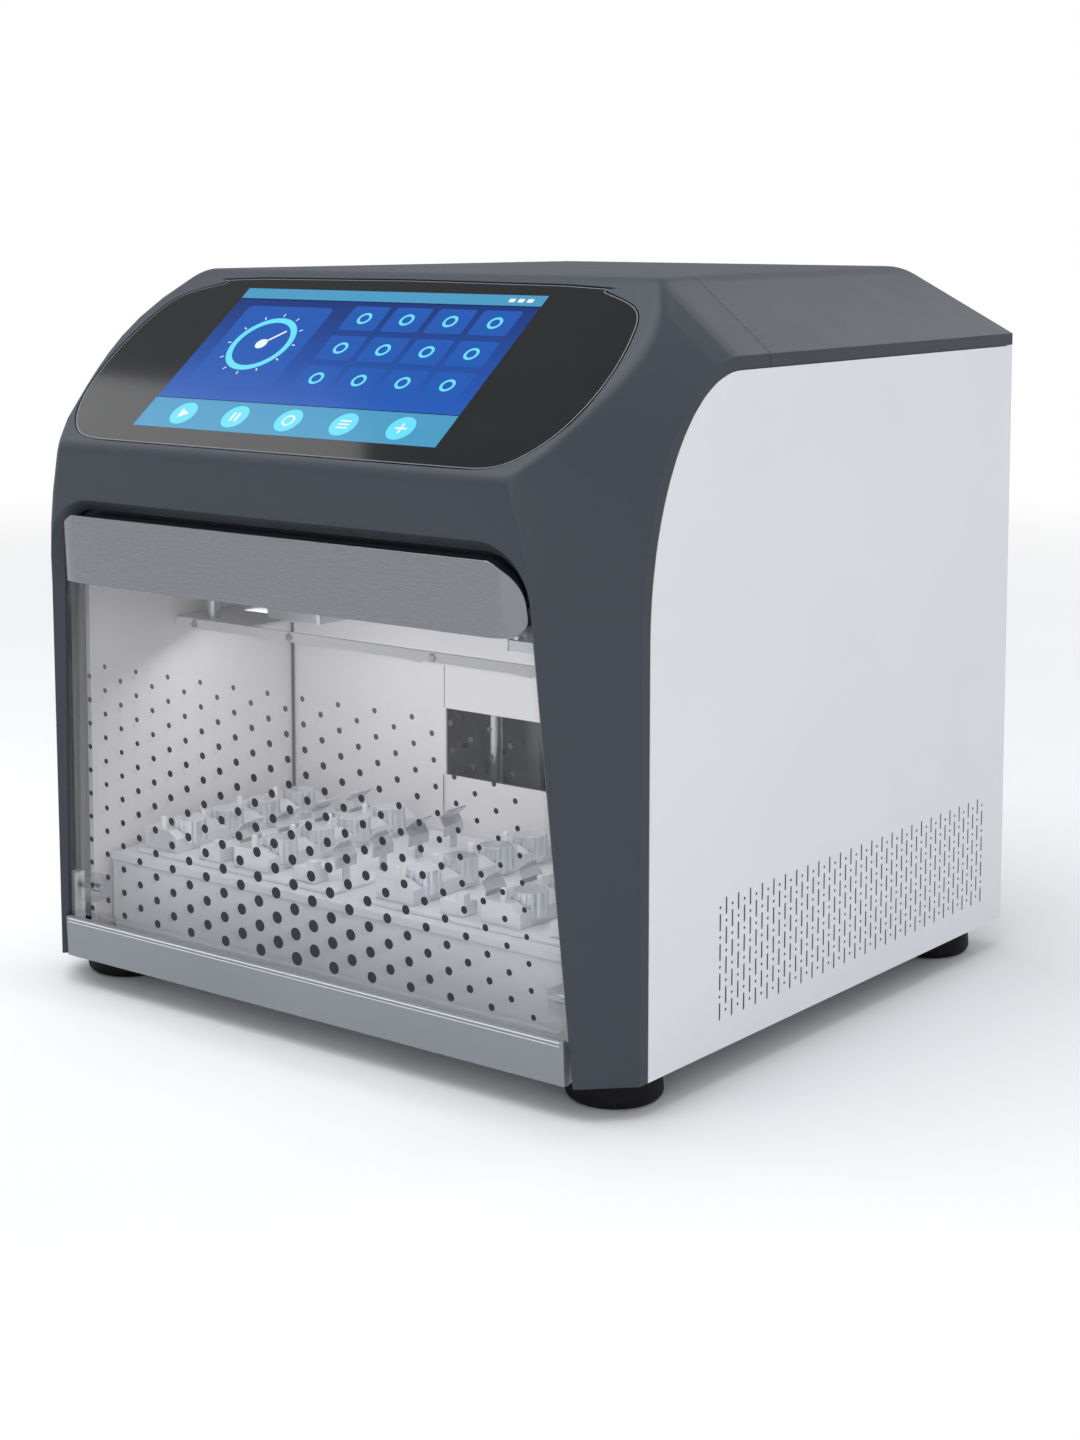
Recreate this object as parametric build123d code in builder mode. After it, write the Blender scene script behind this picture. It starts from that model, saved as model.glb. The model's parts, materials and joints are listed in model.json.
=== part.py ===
"""Bench-top nucleic acid extractor: magnetic-rod head over heated cartridge lanes.

Frame: X to the right, Y to the rear, Z up, millimetres. The origin is on the
surface that the feet stand on, under the middle of the cabinet's box.
"""
import os
from math import atan2, cos, degrees, radians, sin, sqrt, tan

from build123d import *

os.makedirs("parts", exist_ok=True)

# ---------------------------------------------------------------- driving sizes
half_width = 215.0          # cabinet half width, over the side panels
base_z = 18.0               # underside of the cabinet, feet below it
body_rear = 216.5           # rear edge of the side panels and of the roof cover
running_gap = 0.3           # clearance between bodies that move past each other

# side panel outline: straight front edge, quarter ellipse, straight top edge
fan_y = -85.5               # centre of the quarter ellipse, seen from the side
fan_z = 244.0
panel_reach = 81.0          # ellipse semi-axis towards the front
panel_rise = 133.2          # ellipse semi-axis towards the roof
panel_sheet = 2.0
panel_joint = 0.5           # dark line between the side panel and the shell

# moulded shell: crown line seen from the side, and its side slopes
border_strip = 7.0          # flat strip of shell beside the white panel
shell_wall = 3.0
crown_foot_y = -197.8       # front face at the bottom edge
crown_lean = 3.6            # degrees, front face leans out at the top
screen_slope = 38.0         # degrees, slope that carries the touch glass
screen_y = -202.0           # a point on that slope: bottom edge of the display
screen_z = 339.0
roof_z = 424.0
brow_radius = 11.0          # rounding between front face and screen slope
crest_radius = 18.0         # rounding between screen slope and roof
pillar_side_slope = 45.0    # degrees, side slope on the two front pillars
brow_side_slope = 49.5
waist_side_slope = 45.5
roof_side_slope = 40.3      # beside the screen's upper edge
rear_side_slope = 27.0
pillar_ridge_radius = 5.0
roof_ridge_radius = 14.0
rear_ridge_radius = 44.0
seam_y = -58.0              # joint between front shell and roof cover
seam_gap = 0.5

# door opening, in the plane of the door
door_lean = 2.9             # degrees, top leans to the front
door_front_y = -193.8       # door plane where it would meet Z = 0
opening_half = half_width - 25.4    # opening half width at Z = 0
opening_taper = 0.0721      # half width lost per millimetre of height
opening_top = 290.0
opening_corner = 28.0
bevel_depth = 13.0          # bevel cutter: how far it runs out of the door plane
bevel_width = 12.0
collar_width = 9.0
collar_depth = 3.0

# door
glass_gap = 2.75
glass_thickness = 5.0
glass_bottom = 44.5
handle_bottom = 248.3
handle_height = 39.0
handle_stand = 10.7         # bar face in front of the glass face
handle_sheet = 3.0
handle_end_run = 16.9       # width of each bent end
handle_bend = 8.0
handle_bend_drop = 1.6      # the bar falls back by this over its bend
handle_side_gap = 1.0
handle_low_corner = 9.0
hinge_y = -184.0
hinge_z = 58.0
hinge_pin_radius = 2.5
hinge_pin_fit = 0.05
hinge_knuckle = 12.0
knuckle_rise = 7.0          # above and below the hinge axis
knuckle_back = 5.5          # behind the hinge axis
knuckle_glue = 0.1
hinge_block_depth = 8.0
hinge_block_x = opening_half - 0.2
hinge_knuckle_x = hinge_block_x - 19.4
hinge_block_width = 6.0

# sill under the door
sill_top = 42.0
sill_sheet = 3.0
sill_lip = 4.0
sill_end_gap = 1.2
sill_stand = 3.0            # sill face in front of the door plane

# feet
foot_radius = 26.0
foot_x = half_width - 33.0
front_foot_y = -150.0
rear_foot_y = 182.0
foot_edge = 5.0
foot_screw_radius = 2.5
foot_screw_head = 4.5

# base pan and liner
pan_sheet = 2.0
pan_flange = 20.0
pan_side_gap = 0.4
pan_front_y = -193.0
pan_tongue_half = half_width - 31.0
liner_half = half_width - 28.0
liner_sheet = 1.5
liner_front_y = -176.0
liner_bead = 2.0
deck_z = 312.0
deck_sheet = 2.0
back_wall_y = 0.0
back_wall_top = 179.0
window_half = 57.0
window_low = 110.0
window_high = 152.0
wall_seam = 0.8             # joint above the window
wall_seam_inset = 1.0

# bench and heated lanes
bench_top = 74.0
bench_sheet = 5.0
bench_half = liner_half - 2.4
bench_front_y = -163.0
skirt_corner = 14.0
bench_post_x = bench_half - 34.6
bench_post_ys = (-120.0, -30.0)
bench_post_radius = 6.0
carrier_sheet = 2.0
carrier_front_y = -154.0
carrier_length = 144.0
carrier_left_x = 12.6 - bench_half
carrier_gap = 26.0
carrier_width = bench_half - 11.6 - carrier_gap / 2
carrier_pitch = carrier_width + carrier_gap
lane_pitch = 0.4725 * carrier_width
lane_inset = 1.0
rail_width = 27.6
rail_height = 13.0
rail_shoulder_run = 6.6
rail_shoulder_drop = 4.4
rail_front_y = -148.0
rail_length = 132.0
station_count = 4
station_pitch = 32.2
station_first_y = -130.0
boss_radius = 10.0
boss_x = 20.5
boss_low = 3.5
boss_height = 14.0
flute_radius = 1.4
peg_radius = 1.75
peg_height = 7.5
peg_x = 13.5
peg_lead = 14.5
stop_x = 0.6217 * lane_pitch
stop_width = 17.0
stop_height = 8.0
stop_depth = 12.0
stop_post = 6.0
stop_post_height = 5.0
clip_x = lane_pitch - 3.6
clip_sheet = 0.8
clip_stem = 6.0
clip_width = 18.0
clip_shoulder_z = 9.0
clip_height = 22.0
clip_lip = 7.0

# fixed plate over the chamber
ceiling_z = 208.0
ceiling_sheet = 2.0
ceiling_front_y = -104.0
ceiling_flange = 17.0
ceiling_half = liner_half - 0.6
tab_size = 12.0
tab_inset = 7.0               # outer tabs, from the liner
standoff_radius = 4.0

# magnetic-rod head
comb_x = 92.0
comb_slot_half = 26.0
comb_half = 22.0
comb_front_y = -100.0
comb_length = 72.0
comb_z = 216.0
comb_sheet = 6.0
beam_z = 286.0
beam_sheet = 6.0
post_radius = 3.0
post_x = 17.0
post_inset = 4.5
rod_count = 8
rod_pitch = 9.0
rod_radius = 2.5
rod_tip_z = 217.0
rod_plate_z = 256.0
rod_plate_sheet = 5.0
rod_bore_gap = 0.8
rod_screw_radius = 4.0
head_motor_size = 28.0
head_motor_height = 18.0
head_half = 122.0
head_travel = 70.0
rod_travel = 28.0

# lift drive behind the back wall
shaft_x = 45.0
shaft_y = 34.0
shaft_radius = 5.0
screw_radius = 5.0
slide_fit = 0.05
carriage_y = 10.0
carriage_sheet = 8.0
carriage_low = 236.0
shaft_low = 70.0
drive_half = 66.0
drive_plate_y = 54.0
drive_sheet = 4.0
motor_size = 42.0
motor_height = 34.0

# touch glass and display
display_width = 222.7
display_height = 121.0
display_x = -6.0
glass_low = -13.5           # along the slope from the display's bottom edge
glass_high = 131.5
glass_low_run = 93.0        # straight lower edge ends this far inside the cabinet's half width
glass_high_run = 103.0      # and the straight upper edge this far
glass_side = ((58.0, -7.5, 1.0, 0.0), (42.5, 12.0, 1.0, 0.0), (35.0, 38.0, 1.0, 0.0),
              (33.7, 64.0, 1.0, 0.0), (38.0, 93.4, 1.0, 0.0), (51.0, 115.2, 0.8, 0.0),
              (75.0, 126.5, 0.5, 0.8))   # inset, distance up the slope, shares of growth
glass_crown = 1.3           # the upper edge rises by this towards the middle
touch_sheet = 3.0
touch_recess = 0.3
touch_gap = 0.8
bezel_pad = 4.0
bezel_depth = 6.5
display_depth = 6.0
display_rim = 5.0           # frame of the display round its lit area
bracket_ear = 13.0
bracket_inset = 10.0
bracket_bar = 25.0
bracket_post_radius = 3.5
bracket_sheet = 2.0

# rear and electrics
rear_sheet = 2.0
fan_x = 110.0
fan_z_mid = 250.0
fan_size = 80.0
fan_depth = 25.0
fan_bore = 38.0
supply_width = 98.0
supply_depth = 160.0
supply_height = 42.0
supply_x = -120.0
supply_y = 110.0
inlet_x = -150.0
inlet_z = 72.0
flange_sheet = 2.0
switch_x = -104.0
port_x = -60.0

x_axis = (1, 0, 0)


# ---------------------------------------------------------------- shell sections
def meet(p, heading_p, q, heading_q):
    """Where two lines cross in the side view, given as points and headings."""
    across = sin(heading_q - heading_p)
    reach = ((q[0] - p[0]) * sin(heading_q) - (q[1] - p[1]) * cos(heading_q)) / across
    return p[0] + reach * cos(heading_p), p[1] + reach * sin(heading_p)


def bearing(point):
    """Angle of a side-view point about the fan centre, from the front upwards."""
    return atan2(point[1] - fan_z, fan_y - point[0])


def rounding(corner, heading_in, heading_out, radius):
    """Fillet circle of a crown corner: its centre and the bearings of its ends."""
    back = radius * tan((heading_in - heading_out) / 2)
    start = (corner[0] - back * cos(heading_in), corner[1] - back * sin(heading_in))
    end = (corner[0] + back * cos(heading_out), corner[1] + back * sin(heading_out))
    centre = (start[0] + radius * sin(heading_in), start[1] - radius * cos(heading_in))
    return centre, radius, bearing(start), bearing(end)


front_heading = radians(90 + crown_lean)
slope_heading = radians(screen_slope)
crown_foot = (crown_foot_y, base_z)
screen_point = (screen_y, screen_z)
roof_point = (body_rear, roof_z)
brow = rounding(meet(crown_foot, front_heading, screen_point, slope_heading),
                front_heading, slope_heading, brow_radius)
crest = rounding(meet(screen_point, slope_heading, roof_point, 0.0),
                 slope_heading, 0.0, crest_radius)


def crown_radius(angle):
    """Distance from the fan centre to the crown line at a bearing."""
    for centre, radius, first, last in (brow, crest):
        if first < angle < last:
            dy = fan_y - centre[0]
            dz = fan_z - centre[1]
            along = dz * sin(angle) - dy * cos(angle)
            return sqrt(along**2 - dy**2 - dz**2 + radius**2) - along
    reaches = []
    for point, heading in ((crown_foot, front_heading), (screen_point, slope_heading),
                           (roof_point, 0.0)):
        facing = sin(heading) * cos(angle) + cos(heading) * sin(angle)
        offset = (point[1] - fan_z) * cos(heading) - (point[0] - fan_y) * sin(heading)
        if facing > 1e-6:
            reaches.append(offset / facing)
    return min(reaches)


def panel_radius(angle, grow):
    """Distance from the fan centre to the side panel's edge, grown outwards."""
    return 1 / sqrt((cos(angle) / (panel_reach + grow)) ** 2
                    + (sin(angle) / (panel_rise + grow)) ** 2)


def side_slope(angle):
    """Slope of the shell's side face at a bearing, eased between its named values."""
    knots = ((0.0, pillar_side_slope), (40.0, brow_side_slope),
             (60.0, waist_side_slope), (90.0, roof_side_slope))
    bearing_now = degrees(angle)
    for (low, low_slope), (high, high_slope) in zip(knots, knots[1:]):
        if bearing_now <= high:
            share = (bearing_now - low) / (high - low)
            return radians(low_slope + (high_slope - low_slope) * share)
    return radians(roof_side_slope)


def shell_section(plane, inner, border, crown, slope, ridge_radius, inset):
    """Closed section of the shell: flat crown, rounded ridges, side slopes, strips.

    Local X is the cabinet's X and local Y runs outwards. With an inset the
    section is the shell's inner face.
    """
    half = half_width - inset
    ridge_x = half_width - (crown - border) / tan(slope) - inset * tan(slope / 2)
    top = crown - inset
    edge = border - inset * (1 - sin(slope)) / cos(slope)
    radius = max(ridge_radius - inset, 1.0)
    back = radius * tan(slope / 2)
    side = (ridge_x + back * cos(slope), top - back * sin(slope))
    middle = (ridge_x - back + radius * sin(slope / 2),
              top - radius * (1 - cos(slope / 2)))
    flat = (ridge_x - back, top)
    with BuildSketch(plane) as section:
        with BuildLine():
            Polyline((0, inner), (half, inner), (half, edge), side)
            ThreePointArc(side, middle, flat)
            Line(flat, (0, top))
            mirror(about=Plane.YZ)
        make_face()
    return section.sketch


def pillar_section(z, inset):
    """Level section through the front pillars."""
    plane = Plane(origin=(0, fan_y, z), x_dir=x_axis, z_dir=(0, 0, -1))
    crown = fan_y - crown_foot_y + (z - base_z) * tan(radians(crown_lean))
    return shell_section(plane, panel_reach - inset / 3, panel_reach + border_strip, crown,
                         radians(pillar_side_slope), pillar_ridge_radius, inset)


def fan_section(angle, inset):
    """Section through the fan centre at a bearing, for the brow and the slope."""
    plane = Plane(origin=(0, fan_y, fan_z), x_dir=x_axis,
                  z_dir=(0, -sin(angle), -cos(angle)))
    ridge = pillar_ridge_radius + (roof_ridge_radius - pillar_ridge_radius) * sin(angle) ** 2
    return shell_section(plane, panel_radius(angle, -inset / 3),
                         panel_radius(angle, border_strip),
                         crown_radius(angle), side_slope(angle), ridge, inset)


def roof_section(y, inset):
    """Upright section across the roof."""
    plane = Plane(origin=(0, y, fan_z), x_dir=x_axis, z_dir=(0, -1, 0))
    share = (y - fan_y) / (body_rear - fan_y)
    slope = radians(roof_side_slope + (rear_side_slope - roof_side_slope) * share)
    ridge = roof_ridge_radius + (rear_ridge_radius - roof_ridge_radius) * share
    return shell_section(plane, panel_rise - inset / 3, panel_rise + border_strip,
                         roof_z - fan_z, slope, ridge, inset)


def steps(first, last, count):
    """Evenly spaced values after the first, up to and with the last."""
    return [first + (last - first) * (i + 1) / count for i in range(count)]


fan_angles = ([0.0] + steps(0.0, brow[2], 4) + steps(brow[2], brow[3], 5)
              + steps(brow[3], crest[2], 9) + steps(crest[2], radians(90), 5))


# ---------------------------------------------------------------- door plane
lean = radians(door_lean)
door_plane = Plane(origin=(0, door_front_y, 0), x_dir=x_axis,
                   z_dir=(0, -cos(lean), -sin(lean)))


def opening_face(plane, grow, bottom, low_corner=0.0):
    """Door opening outline, grown on all sides, with rounded upper corners."""
    top = opening_top + grow

    def half_at(height):
        return opening_half - height * opening_taper + grow

    with BuildSketch(plane) as outline:
        with BuildLine():
            Polyline((-half_at(bottom), bottom), (-half_at(top), top), (half_at(top), top),
                     (half_at(bottom), bottom), close=True)
        make_face()
        fillet(outline.vertices().sort_by(Axis.Y)[-2:], radius=opening_corner + grow)
        if low_corner:
            fillet(outline.vertices().sort_by(Axis.Y)[:2], radius=low_corner)
    return outline.sketch


def door_y(z):
    """Y of the door plane at a height."""
    return door_front_y - z * tan(lean)


# ---------------------------------------------------------------- writing pieces
def save(builder, name):
    """Label a finished piece and write it."""
    builder.part.label = name
    export_step(builder.part, f"parts/{name}.step")


# ---------------------------------------------------------------- front shell
def shell_form(inset, low, high):
    """Solid form of the front shell's outer or inner face."""
    pillars = [pillar_section(low, inset), pillar_section(fan_z, inset)]
    slopes = [fan_section(angle, inset) for angle in fan_angles]
    roof = [roof_section(fan_y, inset), roof_section(high, inset)]
    with BuildPart() as form:
        loft(sections=pillars, ruled=True)
        loft(sections=slopes, ruled=True)
        loft(sections=roof, ruled=True)
    return form.part


shell_end = seam_y - seam_gap / 2
shell_outer = shell_form(0.0, base_z, shell_end)
shell_inner = shell_form(shell_wall, base_z - 1.0, shell_end + 1.0)

opening_low = -5.0
collar_ring = opening_face(door_plane.offset(-collar_depth), collar_width, base_z)
opening_ring = opening_face(door_plane.offset(-collar_depth - 1.0), 0.0, opening_low)
bevel_inner = opening_face(door_plane, 0.0, opening_low)
bevel_outer = opening_face(door_plane.offset(bevel_depth), bevel_width, opening_low)

with BuildPart() as opening_collar:
    add(collar_ring)
    extrude(amount=40.0, dir=door_plane.z_dir)
    add(shell_outer, mode=Mode.INTERSECT)

screen_plane = Plane(origin=(0, screen_y, screen_z), x_dir=x_axis,
                     z_dir=(0, -sin(slope_heading), cos(slope_heading)))


def glass_face(plane, grow):
    """Visor outline of the touch glass on the screen slope, grown on all sides."""
    low = glass_low - grow
    high = glass_high + grow
    low_corner = (half_width - glass_low_run, low)
    high_corner = (half_width - glass_high_run, high - glass_crown)
    side = [(half_width - inset + grow * share_x, up + grow * share_y)
            for inset, up, share_x, share_y in glass_side]
    with BuildSketch(plane) as outline:
        with BuildLine():
            Line((0, low), low_corner)
            Spline(low_corner, *side, high_corner, tangents=((1, 0), (-1, 0.06)))
            Line(high_corner, (0, high))
            mirror(about=Plane.YZ)
        make_face()
    return outline.sketch


bezel_outline = glass_face(screen_plane.offset(-bezel_depth), bezel_pad)
pocket_outline = glass_face(screen_plane.offset(-touch_sheet - touch_recess), touch_gap)
glass_outline = glass_face(screen_plane.offset(-touch_sheet - touch_recess), 0.0)
window_mid = display_height / 2

with BuildPart() as bezel_seat:
    add(bezel_outline)
    extrude(amount=30.0, dir=screen_plane.z_dir)
    add(shell_outer, mode=Mode.INTERSECT)

with BuildPart() as front_shell:
    add(shell_outer)
    add(shell_inner, mode=Mode.SUBTRACT)
    add(opening_collar)
    add(bezel_seat)
    extrude(opening_ring, amount=60.0, dir=door_plane.z_dir, mode=Mode.SUBTRACT)
    loft(sections=[bevel_inner, bevel_outer], ruled=True, mode=Mode.SUBTRACT)
    extrude(pocket_outline, amount=20.0, dir=screen_plane.z_dir, mode=Mode.SUBTRACT)
    with BuildSketch(screen_plane.offset(-bezel_depth - 5.0)) as display_window:
        with Locations((display_x, window_mid)):
            Rectangle(display_width + 1.0, display_height + 1.0)
    extrude(amount=12.0, dir=screen_plane.z_dir, mode=Mode.SUBTRACT)
save(front_shell, "front_shell")

with BuildPart() as touch_glass:
    add(glass_outline)
    extrude(amount=touch_sheet, dir=screen_plane.z_dir)
save(touch_glass, "touch_glass")

# ---------------------------------------------------------------- roof cover
cover_start = seam_y + seam_gap / 2
cover_outer = [roof_section(cover_start, 0.0), roof_section(body_rear, 0.0)]
cover_inner = [roof_section(cover_start - 1.0, shell_wall),
               roof_section(body_rear + 1.0, shell_wall)]
with BuildPart() as roof_cover:
    loft(sections=cover_outer, ruled=True)
    loft(sections=cover_inner, ruled=True, mode=Mode.SUBTRACT)
save(roof_cover, "roof_cover")

# ---------------------------------------------------------------- side panels
panel_front = fan_y - panel_reach + panel_joint
panel_top = fan_z + panel_rise - panel_joint
for side, name in ((-1, "side_panel_left"), (1, "side_panel_right")):
    with BuildPart() as side_panel:
        with BuildSketch(Plane.YZ.offset(side * (half_width - panel_sheet / 2))):
            with BuildLine():
                Line((panel_front, base_z), (panel_front, fan_z))
                EllipticalCenterArc((fan_y, fan_z), panel_reach - panel_joint,
                                    panel_rise - panel_joint,
                                    start_angle=90, arc_size=90)
                Polyline((fan_y, panel_top), (body_rear, panel_top), (body_rear, base_z),
                         (panel_front, base_z))
            make_face()
        extrude(amount=panel_sheet / 2, both=True)
    save(side_panel, name)

# ---------------------------------------------------------------- base pan and feet
pan_half = half_width - panel_sheet - pan_side_gap
pan_rear_y = body_rear - rear_sheet - 0.8
pan_body_front = fan_y - panel_reach + 2.0
pan_top = base_z + pan_sheet
with BuildPart() as base_pan:
    with BuildSketch(Plane.XY.offset(base_z)):
        with BuildLine():
            Polyline((-pan_half, pan_rear_y), (-pan_half, pan_body_front),
                     (-pan_tongue_half, pan_body_front), (-pan_tongue_half, pan_front_y),
                     (pan_tongue_half, pan_front_y), (pan_tongue_half, pan_body_front),
                     (pan_half, pan_body_front), (pan_half, pan_rear_y), close=True)
        make_face()
    extrude(amount=pan_sheet)
    with BuildSketch(Plane.XY.offset(pan_top)):
        for side in (-1, 1):
            with Locations((side * (pan_half - pan_sheet / 2), (pan_rear_y + pan_body_front) / 2)):
                Rectangle(pan_sheet, pan_rear_y - pan_body_front)
        with Locations((0, pan_rear_y - pan_sheet / 2)):
            Rectangle(2 * pan_half, pan_sheet)
        with Locations((0, pan_front_y + pan_sheet / 2)):
            Rectangle(2 * pan_tongue_half, pan_sheet)
    extrude(amount=pan_flange)
    with BuildSketch(Plane.XY.offset(base_z)):
        for y in (front_foot_y, rear_foot_y):
            with Locations((-foot_x, y), (foot_x, y)):
                Circle(foot_screw_radius + 0.3)
    extrude(amount=pan_sheet, mode=Mode.SUBTRACT)
save(base_pan, "base_pan")

foot_places = [(sx * foot_x, y) for sx in (-1, 1) for y in (front_foot_y, rear_foot_y)]
foot_recess = 8.0
with BuildPart() as feet:
    with BuildSketch(Plane.XZ):
        with BuildLine():
            Polyline((foot_screw_head + 0.5, 0), (foot_radius - foot_edge, 0))
            ThreePointArc((foot_radius - foot_edge, 0),
                          (foot_radius - foot_edge * (1 - sin(radians(45))),
                           foot_edge * (1 - cos(radians(45)))),
                          (foot_radius, foot_edge))
            Polyline((foot_radius, foot_edge), (foot_radius - 1.0, base_z),
                     (foot_screw_radius + 0.2, base_z), (foot_screw_radius + 0.2, foot_recess),
                     (foot_screw_head + 0.5, foot_recess), (foot_screw_head + 0.5, 0))
        make_face()
    revolve(axis=Axis.Z)
foot_solid = feet.part
with BuildPart() as feet:
    with Locations(*[(x, y, 0) for x, y in foot_places]):
        add(foot_solid)
save(feet, "feet")

with BuildPart() as foot_screws:
    with Locations(*[(x, y, foot_recess) for x, y in foot_places]):
        Cylinder(foot_screw_radius, pan_top + 3.0 - foot_recess,
                 align=(Align.CENTER, Align.CENTER, Align.MIN))
        Cylinder(foot_screw_head, 3.0, align=(Align.CENTER, Align.CENTER, Align.MAX))
save(foot_screws, "foot_screws")

# ---------------------------------------------------------------- sill under the door
sill_half = opening_half - sill_top * opening_taper - sill_end_gap
with BuildPart() as front_sill:
    with BuildSketch(Plane.YZ):
        face_y = door_front_y - sill_stand
        with BuildLine():
            Polyline((face_y - base_z * tan(lean), base_z),
                     (face_y - sill_top * tan(lean), sill_top),
                     (face_y - sill_top * tan(lean) + sill_lip, sill_top),
                     (face_y - sill_top * tan(lean) + sill_lip, sill_top - 1.5),
                     (face_y - sill_top * tan(lean) + sill_sheet, sill_top - 4.0),
                     (pan_front_y, base_z + pan_flange - 2.0),
                     (pan_front_y, base_z), close=True)
        make_face()
    extrude(amount=sill_half, both=True)
save(front_sill, "front_sill")

# ---------------------------------------------------------------- chamber liner
liner_outer = liner_half + liner_sheet
for side, name in ((-1, "liner_left"), (1, "liner_right")):
    inner_x, outer_x = side * liner_half, side * liner_outer
    with BuildPart() as liner_wall:
        with BuildSketch(Plane.XY.offset(pan_top)):
            with BuildLine():
                Polyline((outer_x, liner_front_y), (inner_x - side * liner_bead, liner_front_y),
                         (inner_x - side * liner_bead, liner_front_y + liner_bead),
                         (inner_x, liner_front_y + liner_bead), (inner_x, pan_rear_y - pan_sheet),
                         (outer_x, pan_rear_y - pan_sheet), close=True)
            make_face()
        extrude(amount=deck_z - pan_top)
    save(liner_wall, name)

with BuildPart() as liner_back:
    with BuildSketch(Plane.XZ.offset(-back_wall_y - liner_sheet)):
        with Locations((0, (pan_top + back_wall_top) / 2)):
            Rectangle(2 * liner_half, back_wall_top - pan_top)
        with Locations((0, (window_low + window_high) / 2)):
            Rectangle(2 * window_half, window_high - window_low, mode=Mode.SUBTRACT)
        with Locations((-window_half - wall_seam_inset, (window_high + back_wall_top) / 2)):
            Rectangle(wall_seam, back_wall_top - window_high, mode=Mode.SUBTRACT)
    extrude(amount=liner_sheet)
save(liner_back, "liner_back")

with BuildPart() as top_deck:
    with BuildSketch(Plane.XY.offset(deck_z)):
        with Locations((0, (liner_front_y + pan_rear_y - pan_sheet) / 2)):
            Rectangle(2 * liner_outer, pan_rear_y - pan_sheet - liner_front_y)
    extrude(amount=deck_sheet)
save(top_deck, "top_deck")

# ---------------------------------------------------------------- bench
bench_low = bench_top - bench_sheet
bench_rear_y = back_wall_y - 0.5
with BuildPart() as bench_plate:
    with BuildSketch(Plane.XY.offset(bench_low)):
        with Locations((0, (bench_front_y + bench_rear_y) / 2)):
            Rectangle(2 * bench_half, bench_rear_y - bench_front_y)
    extrude(amount=bench_sheet)
save(bench_plate, "bench_plate")

skirt_back = 3.5
with BuildPart() as bench_skirt:
    with BuildSketch(Plane.XZ.offset(-bench_front_y - skirt_back)) as skirt_outline:
        with Locations((0, (pan_top + bench_low) / 2)):
            Rectangle(2 * bench_half, bench_low - pan_top)
        fillet(skirt_outline.vertices().sort_by(Axis.Y)[:2], radius=skirt_corner)
    extrude(amount=2.0)
save(bench_skirt, "bench_skirt")

with BuildPart() as bench_posts:
    with Locations(*[(x, y, pan_top) for x in (-bench_post_x, 0, bench_post_x)
                     for y in bench_post_ys]):
        Cylinder(bench_post_radius, bench_low - pan_top, align=(Align.CENTER, Align.CENTER, Align.MIN))
save(bench_posts, "bench_posts")

# ---------------------------------------------------------------- heated lanes
carrier_top = bench_top + carrier_sheet
carrier_places = [carrier_left_x, carrier_left_x + carrier_pitch]
lane_places = [x + lane_inset + lane * lane_pitch for x in carrier_places for lane in (0, 1)]
station_ys = [station_first_y + i * station_pitch for i in range(station_count)]

for x, name in zip(carrier_places, ("carrier_left", "carrier_right")):
    with BuildPart() as carrier:
        with BuildSketch(Plane.XY.offset(bench_top)):
            with Locations((x + carrier_width / 2, carrier_front_y + carrier_length / 2)):
                RectangleRounded(carrier_width, carrier_length, 3.0)
        extrude(amount=carrier_sheet)
    save(carrier, name)

with BuildPart() as heat_rails:
    with BuildSketch(Plane.XZ.offset(-rail_front_y)):
        for x in lane_places:
            top = carrier_top + rail_height
            with BuildLine():
                Polyline((x, carrier_top), (x, top), (x + rail_width - rail_shoulder_run, top),
                         (x + rail_width, top - rail_shoulder_drop),
                         (x + rail_width, carrier_top), close=True)
            make_face()
    extrude(amount=-rail_length)
    with BuildSketch(Plane.XY.offset(carrier_top + boss_low)):
        for x in lane_places:
            with Locations(*[(x + boss_x, y) for y in station_ys]):
                Circle(boss_radius + running_gap)
    extrude(amount=boss_height + 5.0, mode=Mode.SUBTRACT)
save(heat_rails, "heat_rails")

with BuildPart() as heat_seats:
    with BuildSketch(Plane.XY.offset(carrier_top + boss_low)):
        for x in lane_places:
            for y in station_ys:
                with Locations((x + boss_x, y)):
                    Circle(boss_radius)
                    with PolarLocations(boss_radius + flute_radius * 0.35, 12):
                        Circle(flute_radius, mode=Mode.SUBTRACT)
    extrude(amount=boss_height)
save(heat_seats, "heat_seats")

peg_ys = [y - peg_lead for y in station_ys]
with BuildPart() as locating_pegs:
    with Locations(*[(x + peg_x, y, carrier_top + rail_height) for x in lane_places for y in peg_ys]):
        Cylinder(peg_radius, peg_height, align=(Align.CENTER, Align.CENTER, Align.MIN))
    fillet(locating_pegs.edges().group_by(Axis.Z)[-1], radius=1.0)
save(locating_pegs, "locating_pegs")

with BuildPart() as lane_stops:
    with Locations(*[(x + stop_x, rail_front_y, carrier_top) for x in lane_places]):
        Box(stop_width, stop_depth, stop_height, align=(Align.MIN, Align.MIN, Align.MIN))
    with Locations(*[(x + stop_x + stop_width - stop_post, rail_front_y, carrier_top + stop_height)
                     for x in lane_places]):
        Box(stop_post, stop_post, stop_post_height, align=(Align.MIN, Align.MIN, Align.MIN))
save(lane_stops, "lane_stops")

with BuildPart() as spring_clips:
    for y in station_ys:
        with BuildSketch(Plane.XZ.offset(-y - clip_width / 2)):
            with BuildLine():
                for x in lane_places:
                    Polyline((x + clip_x, carrier_top + clip_shoulder_z - 1.0),
                             (x + clip_x, carrier_top + clip_shoulder_z + 5.0),
                             (x + clip_x - clip_lip / 2, carrier_top + clip_height - 3.0),
                             (x + clip_x + clip_lip / 3, carrier_top + clip_height + 2.0))
            trace(line_width=clip_sheet)
        extrude(amount=clip_width)
        with Locations(*[(x + clip_x, y, carrier_top) for x in lane_places]):
            Box(clip_sheet, clip_stem, clip_shoulder_z,
                align=(Align.CENTER, Align.CENTER, Align.MIN))
save(spring_clips, "spring_clips")

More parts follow.
